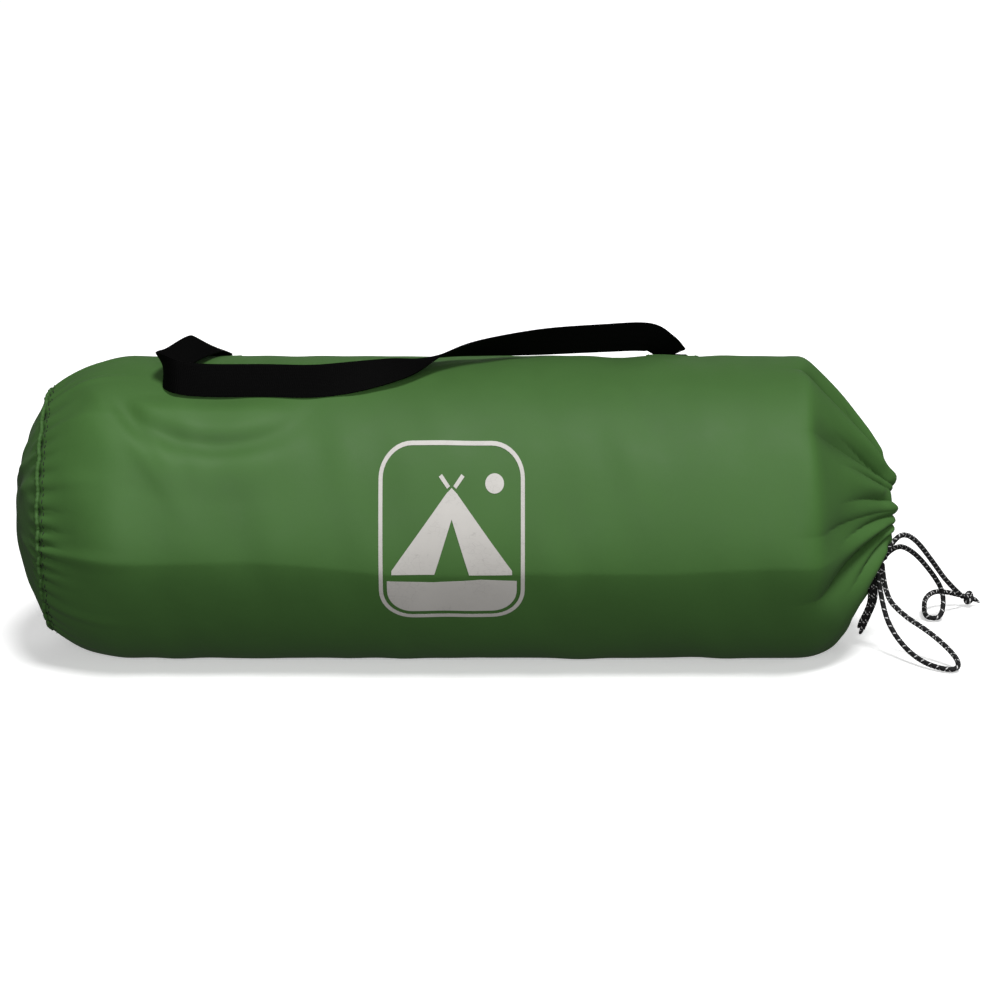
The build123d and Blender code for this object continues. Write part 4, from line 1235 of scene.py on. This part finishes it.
# Both edges of the lying strap: x, turn in degrees and gap over the bag, or x alone at the hinge line
STRAP_STATIONS = (
    (-198.0, None, None, -173.0, None, None), (-203.0, -5.1, 16.5, -182.0, -3.7, 4.3),
    (-219.0, 10.7, 15.3, -200.0, 16.0, 7.9), (-220.0, 18.8, 20.9, -217.0, 25.3, 4.2),
    (-209.0, 24.8, 23.9, -208.0, 31.0, 5.6), (-186.4, 24.6, 20.5, -186.4, 31.8, 3.2),
    (-143.5, 23.9, 18.9, -143.5, 31.5, 2.6), (-96.7, 23.5, 16.3, -96.7, 30.5, 2.6),
    (-46.0, 14.8, 10.3, -46.0, 24.6, 6.2), (-11.0, 3.7, 4.5, -11.0, 13.9, 13.2),
    (20.0, 0.0, 3.6, 20.0, 8.2, 20.4), (67.0, -4.7, 3.6, 67.0, 0.0, 22.3),
    (114.0, -9.4, 4.0, 114.0, -4.8, 24.5), (149.0, -13.9, 4.8, 149.0, -8.8, 24.9),
    (157.0, -16.3, 4.0, 168.0, -11.3, 14.4), (158.0, None, None, 183.0, None, None),
)


def webbing_rib(at, across):
    """Relief of the strap's ribs, fading at its selvedges."""
    rib = np.sin(at * 2 * math.pi / 1.7 + 1.5 * np.sin(across * 2 * math.pi / 6.2))
    return 0.11 * rib * (1 - step01(np.abs(across), STRAP_W / 2 - 2.2, STRAP_W / 2 - 1.2))


class PACKED_OT_strap(bpy.types.Operator):
    """Weave the carry strap and lay it over the top of the bag"""
    bl_idname = "packed.strap"
    bl_label = "Carry strap"

    def execute(self, context):
        thick = context.scene.packed_tent.strap.thickness / MM
        sides = [[], []]
        for row in STRAP_STATIONS:
            for k, side in ((0, -1), (1, 1)):
                x, turn, gap = row[3 * k:3 * k + 3]
                if turn is None:
                    middle = STRAP_MIDDLES[0] if x < 0 else STRAP_MIDDLES[1]
                    sides[k].append((middle + side * STRAP_W / 2, HINGE_Y, HINGE_Z))
                else:
                    a = math.radians(turn)
                    sides[k].append((x, -(BAG_R + gap) * math.sin(a), AXIS_Z + (BAG_R + gap) * math.cos(a)))
        upper, lower = glide(sides[0], 24), glide(sides[1], 24)
        middle = (upper + lower) / 2
        run = run_of(middle)
        count = int(run[-1] / 0.62)
        at = np.linspace(0, run[-1], count + 1)
        middle = np.stack([np.interp(at, run, middle[:, k]) for k in range(3)], 1)
        across = unit(lower - upper)
        across = unit(np.stack([np.interp(at, run, across[:, k]) for k in range(3)], 1))
        ahead = unit(np.gradient(middle, axis=0))
        across = unit(across - ahead * (across * ahead).sum(1, keepdims=True))
        face = np.cross(across, ahead)
        piece, u, v = flat_cut("carry_webbing", 26, count, (STRAP_W, run[-1]))
        i = np.rint(v * count).astype(int)
        w = (u - 0.5) * STRAP_W
        cup = 0.35 * (np.abs(w) / (STRAP_W / 2)) ** 2 * np.sin(at[i] / 37.0 + 0.8)
        rib = webbing_rib(at[i], w)
        body = thick - 0.35 - 0.35 * step01(np.abs(w), STRAP_W / 2 - 1.4, STRAP_W / 2)
        points = middle[i] + w[:, None] * across[i] + (body / 2 + rib + cup)[:, None] * face[i]
        back = middle[i] + w[:, None] * across[i] - (body / 2 + rib - cup)[:, None] * face[i]
        put_points(piece, points)
        smooth(piece)
        under = piece.copy()
        under.data = piece.data.copy()
        bpy.context.collection.objects.link(under)
        put_points(under, back)
        under.data.flip_normals()
        piece = join("carry_webbing", [piece, under])
        bpy.ops.object.mode_set(mode="EDIT")
        bpy.ops.mesh.select_all(action="DESELECT")
        bpy.ops.mesh.select_non_manifold(extend=False)
        bpy.ops.mesh.bridge_edge_loops()
        bpy.ops.mesh.select_all(action="SELECT")
        bpy.ops.mesh.normals_make_consistent(inside=False)
        bpy.ops.object.mode_set(mode="OBJECT")
        smooth(piece, 60)
        settle(piece, FINISHES["webbing"], "strap", ("carry_strap",))
        return {"FINISHED"}


class PACKED_OT_strap_ends(bpy.types.Operator):
    """Sew both ends of the strap to their patches with a boxed cross"""
    bl_idname = "packed.strap_ends"
    bl_label = "Sewn strap ends"

    def strip(self, name, x_mid, width, start, end, low, thick, relief):
        """A strip on the bag from one turn back to another, bent down over its edges."""
        across, along = int(width / 0.9), int((start - end) * BAG_R / 0.62)
        length = (start - end) * BAG_R
        piece, u, v = flat_cut(name, across, along, (width, length))
        x, turn = x_mid + (u - 0.5) * width, end + v * (start - end)
        rim = np.minimum(np.minimum(u, 1 - u) * width, np.minimum(v, 1 - v) * length)
        height = low + thick * (0.35 + 0.65 * step01(rim, 0, 0.9)) + relief(v * length, x - x_mid)
        put_points(piece, skin(bag_run(x), turn, height)[0])
        hold(piece)
        if piece.data.polygons[0].normal.z < 0:
            piece.data.flip_normals()
        smooth(piece, 60)
        thicken(piece, thick * 0.8)
        return piece

    def execute(self, context):
        hinge, r = turn_at(HINGE_Y, HINGE_Z), STRAP_RUN_R
        patches, ends, marks = [], [], []
        for x_mid in STRAP_MIDDLES:
            side = "left" if x_mid < 0 else "right"
            patches.append(self.strip("patch_" + side, x_mid, PATCH_W, hinge + 8 / r, hinge - 36 / r, 0.1, 0.8,
                                      lambda at, w: 0.05 * np.sin(at * 2.1) * np.sin(w * 1.9)))
            ends.append(self.strip("end_" + side, x_mid, STRAP_W, hinge + 0.6 / r, hinge - 32.6 / r, 0.95, 1.5,
                                   webbing_rib))
            box_start, box_long, half = 6.0, 23.5, STRAP_W / 2 - 3
            first, last = hinge - box_start / r, hinge - (box_start + box_long) / r
            slope = math.atan2(box_long, 2 * half)
            for k in range(8):
                t = (k + 0.5) / 8
                turn = first + (last - first) * t
                for dx in (-half, half):
                    marks.append(frame_on(x_mid + dx, turn, 2.5, math.pi / 2))
                marks.append(frame_on(x_mid - half + 2 * half * t, turn, 2.55, slope))
                marks.append(frame_on(x_mid + half - 2 * half * t, turn, 2.55, -slope))
            for k in range(7):
                dx = -half + 2 * half * (k + 0.5) / 7
                for turn in (first, last):
                    marks.append(frame_on(x_mid + dx, turn, 2.5))
            for k in range(13):
                turn = hinge + (5.5 - 39.0 * (k + 0.5) / 13) / r
                for dx in (-18.3, 18.3):
                    marks.append(frame_on(x_mid + dx, turn, 0.95, math.pi / 2))
        patch = join("strap_patch_cloth", patches)
        settle(patch, FINISHES["patch_cloth"], stands_for=("strap_patches",))
        end = join("sewn_webbing_ends", ends)
        settle(end, FINISHES["webbing"], stands_for=("strap_ends",))
        boxes = copies("boxed_cross_stitches", stitch_master(2.3, 0.75, 0.6), marks)
        settle(boxes, FINISHES["thread"], stands_for=("strap_stitching",))
        return {"FINISHED"}


class PACKED_OT_rolled_tent(bpy.types.Operator):
    """Roll up the flysheet round the inner tent and tie them"""
    bl_idname = "packed.rolled_tent"
    bl_label = "Rolled tent"

    def spiral(self, name, turns, first_r, last_r, left, right, start, thick, seed, floor=None):
        """Cloth rolled from its inner radius to its outer one, with its edges shifted as by hand."""
        per_turn = 84
        across = turns * per_turn
        length = 2 * math.pi * (first_r + last_r) / 2 * turns
        piece, u, v = flat_cut(name, across, 40, (length, right - left))
        turn = math.radians(start) + u * turns * 2 * math.pi
        r = first_r + (last_r - first_r) * u
        random = np.random.default_rng(seed)
        lift = 0.35 * np.sin(3 * turn + 1) + 0.25 * np.sin(7 * turn + seed) + 0.3 * ripple(v * 500, turn, seed)
        shift = 2.2 * np.sin(u * turns * 2.1 + seed) + 1.2 * np.sin(u * turns * 9.0 + 1)
        shift += 0.5 * np.sin(turn * 13 + random.uniform(0, 6))
        ending = np.abs(v - 0.5) * 2
        x = left + 4 + v * (right - left - 8) + shift * step01(ending, 0.6, 1.0) * np.sign(v - 0.5)
        r = r + lift * 0.8 - 0.8 * step01(ending, 0.9, 1.0)
        z = AXIS_Z + r * np.cos(turn)
        if floor is not None:
            z = laid(z, floor, floor + 25, 1.6)
        put_points(piece, np.stack([x, -r * np.sin(turn), z], 1))
        smooth(piece)
        thicken(piece, thick, 0.0)
        add_and_apply(piece, "BEVEL", width=0.9 * MM, segments=2, limit_method="ANGLE",
                      angle_limit=math.radians(50))
        smooth(piece, 60)
        return piece

    def execute(self, context):
        turns = context.scene.packed_tent.contents.layers
        fly = self.spiral("flysheet_rolled", turns, 88.2, 113.0, -262, 250, 150, 24.8 / turns * 0.82, 2, 5.4)
        settle(fly, FINISHES["flysheet_cloth"], "tent_pack", ("flysheet_roll",))
        inner = self.spiral("inner_tent_rolled", turns, 49.6, 81.8, -266, 254, 20, 32.2 / turns * 0.82, 6)
        settle(inner, FINISHES["inner_cloth"], "tent_pack", ("inner_tent_roll",))

        bands = []
        for x_mid in (-135.0, 120.0):
            piece, u, v = flat_cut("tie_band", 260, 20, (2 * math.pi * 116, TIE_W))
            turn = math.radians(140) + u * 2 * math.pi * 1.06
            w = (v - 0.5) * TIE_W
            lap = ((turn - math.radians(150)) / (2 * math.pi)) % 1.0      # how far round the outer layer
            lap = lap * (1 - step01(lap, 0.97, 1.0))
            r = 115.15 - 3.4 * (1 - lap) + 0.65 * step01(u, 0.9, 0.94) + 0.05 * np.sin(turn * 420)
            z = laid(AXIS_Z + r * np.cos(turn), 2.9, 20, 1.2)
            put_points(piece, np.stack([x_mid + w + 0.8 * np.sin(3 * turn), -r * np.sin(turn), z], 1))
            smooth(piece)
            thicken(piece, 0.6)
            bands.append(piece)
        ties = join("roll_tie_bands", bands)
        settle(ties, FINISHES["webbing"], "tent_pack", ("roll_ties",))
        return {"FINISHED"}


class PACKED_OT_small_bags(bpy.types.Operator):
    """Make the pole bag and the peg bag that lie in the core of the roll"""
    bl_idname = "packed.small_bags"
    bl_label = "Pole bag and peg bag"

    def sack(self, node, lumps, seed):
        """A slim bag in a node's place, drawn in to a puckered knot of cloth at both ends."""
        low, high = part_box(node)
        y, radius, half = (low[1] + high[1]) / 2 / MM, (high[1] - low[1]) / 2 / MM, high[0] / MM
        name = node + "_cloth"
        dome, tip = 0.60 * radius, half + 0.09 * radius
        total = 2 * half + 2 * radius
        piece, u, v = flat_cut(name, 96, 110, (2 * math.pi * radius, total))
        turn, at = u * 2 * math.pi, v * total
        near, side = np.minimum(at, total - at), np.where(at < total / 2, -1.0, 1.0)
        share = np.clip(near / radius, 0, 1)
        r = radius * np.sqrt(np.maximum(1 - (1 - share) ** 2.6, 0))
        pleat = puff(13 * turn + np.sin(3 * turn), 0.8) * bell(share - 0.5, 0.36)
        lump = 0.35 * np.abs(np.cos(lumps * turn / 2)) + 0.25 * ripple(at, turn, seed)
        settled = step01(share, 0.4, 1.0)
        r = r - 0.7 * step01(share, 0.3, 1.0) + lump * settled - 0.04 * radius * np.maximum(-pleat, 0)
        knot = 0.26 * radius * bell(share, 0.07)
        cap = tip - dome * share ** 1.8 + knot + 0.06 * radius * pleat
        body = (tip - dome) * (1 - (near - radius) / (total / 2 - radius))
        edge = side * np.where(near < radius, cap, body)
        put_points(piece, np.stack([edge, y - r * np.sin(turn), AXIS_Z + r * np.cos(turn)], 1))
        sew(piece)
        smooth(piece)
        settle(piece, FINISHES["small_bag_cloth"], "tent_pack", (node,))

    def execute(self, context):
        self.sack("pole_bag", 10, 3)
        self.sack("peg_bag", 8, 9)
        return {"FINISHED"}


class PACKED_OT_studio(bpy.types.Operator):
    """Set out the pale floor and the soft lights"""
    bl_idname = "packed.studio"
    bl_label = "Studio"

    def lamp(self, context, name, power, place, width, height):
        """A wide soft light that points at the bag."""
        data = bpy.data.lights.new(name, "AREA")
        data.shape, data.size, data.size_y, data.energy = "RECTANGLE", width, height, power
        lamp = bpy.data.objects.new(name, data)
        context.collection.objects.link(lamp)
        lamp.location = place
        lamp.rotation_euler = (Vector((0.0, 0.0, 0.1)) - lamp.location).to_track_quat("-Z", "Y").to_euler()
        return lamp

    def execute(self, context):
        choice = context.scene.packed_tent.studio
        let_go()
        bpy.ops.mesh.primitive_plane_add(size=24.0, location=(0, 0, -0.0004))
        floor = bpy.context.object
        floor.name = "studio_floor"
        made = Finish("studio_floor")
        grain = made.noise(3.0, 2.0)
        made.set(Base_Color=made.blend(grain, shade(choice.floor, 0.985), choice.floor), Roughness=0.85,
                 Emission_Color=(1.0, 1.0, 1.0), Emission_Strength=0.40)
        floor.data.materials.append(made.material)
        floor.visible_diffuse = floor.visible_glossy = False
        world = bpy.data.worlds.new("studio_air")
        context.scene.world = world
        world.use_nodes = True
        sky = world.node_tree.nodes["Background"]
        sky.inputs[0].default_value = (1.0, 1.0, 1.0, 1.0)
        sky.inputs[1].default_value = 0.09
        data = bpy.data.lights.new("high_light", "SUN")
        data.energy, data.angle = choice.key, math.radians(16)
        high = bpy.data.objects.new("high_light", data)
        context.collection.objects.link(high)
        high.location = (0.3, -1.0, 2.0)
        high.rotation_euler = Vector((-0.16, 0.36, -1.0)).to_track_quat("-Z", "Y").to_euler()
        self.lamp(context, "front_light", choice.fill, (-0.3, -2.45, 0.78), 1.6, 0.9)
        rear = self.lamp(context, "rear_light", choice.fill * 0.75, (0.3, 2.4, 1.1), 1.6, 0.9)
        side = self.lamp(context, "side_light", choice.fill * 0.36, (2.3, -1.1, 0.8), 1.2, 0.9)
        rear.visible_glossy = side.visible_glossy = False
        context.scene.view_settings.view_transform = "Standard"
        return {"FINISHED"}


class PACKED_PT_panel(bpy.types.Panel):
    """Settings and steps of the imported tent"""
    bl_idname = "PACKED_PT_panel"
    bl_label = "Packed tent"
    bl_space_type = "VIEW_3D"
    bl_region_type = "UI"
    bl_category = "Packed tent"

    def draw(self, context):
        choice = context.scene.packed_tent
        for name in ("bag", "cord", "strap", "contents", "studio"):
            box = self.layout.box()
            group = getattr(choice, name)
            for key in group.__annotations__:
                box.prop(group, key)
        for step in STEPS:
            self.layout.operator(step.bl_idname)


STEPS = (PACKED_OT_camera, PACKED_OT_finishes, PACKED_OT_drawcord, PACKED_OT_knots, PACKED_OT_bag_cloth,
         PACKED_OT_seams, PACKED_OT_print, PACKED_OT_strap, PACKED_OT_strap_ends, PACKED_OT_rolled_tent,
         PACKED_OT_small_bags, PACKED_OT_studio)
CLASSES = (PACKED_PG_bag, PACKED_PG_cord, PACKED_PG_strap, PACKED_PG_contents, PACKED_PG_studio,
           PACKED_PG_settings, *STEPS, PACKED_PT_panel)


def register():
    """Make Blender know the pieces, settings and panel."""
    for cls in CLASSES:
        bpy.utils.register_class(cls)
    bpy.types.Scene.packed_tent = PointerProperty(type=PACKED_PG_settings, name="Packed tent",
                                                  description="Settings of the packed tent")


def unregister():
    """Take them away again."""
    del bpy.types.Scene.packed_tent
    for cls in reversed(CLASSES):
        bpy.utils.unregister_class(cls)


def main():
    """Build every piece in order."""
    register()
    bpy.ops.packed.camera()
    bpy.ops.packed.finishes()
    bpy.ops.packed.drawcord()
    bpy.ops.packed.knots()
    bpy.ops.packed.bag_cloth()
    bpy.ops.packed.seams()
    bpy.ops.packed.print()
    bpy.ops.packed.strap()
    bpy.ops.packed.strap_ends()
    bpy.ops.packed.rolled_tent()
    bpy.ops.packed.small_bags()
    bpy.ops.packed.studio()


if __name__ == "__main__":
    main()
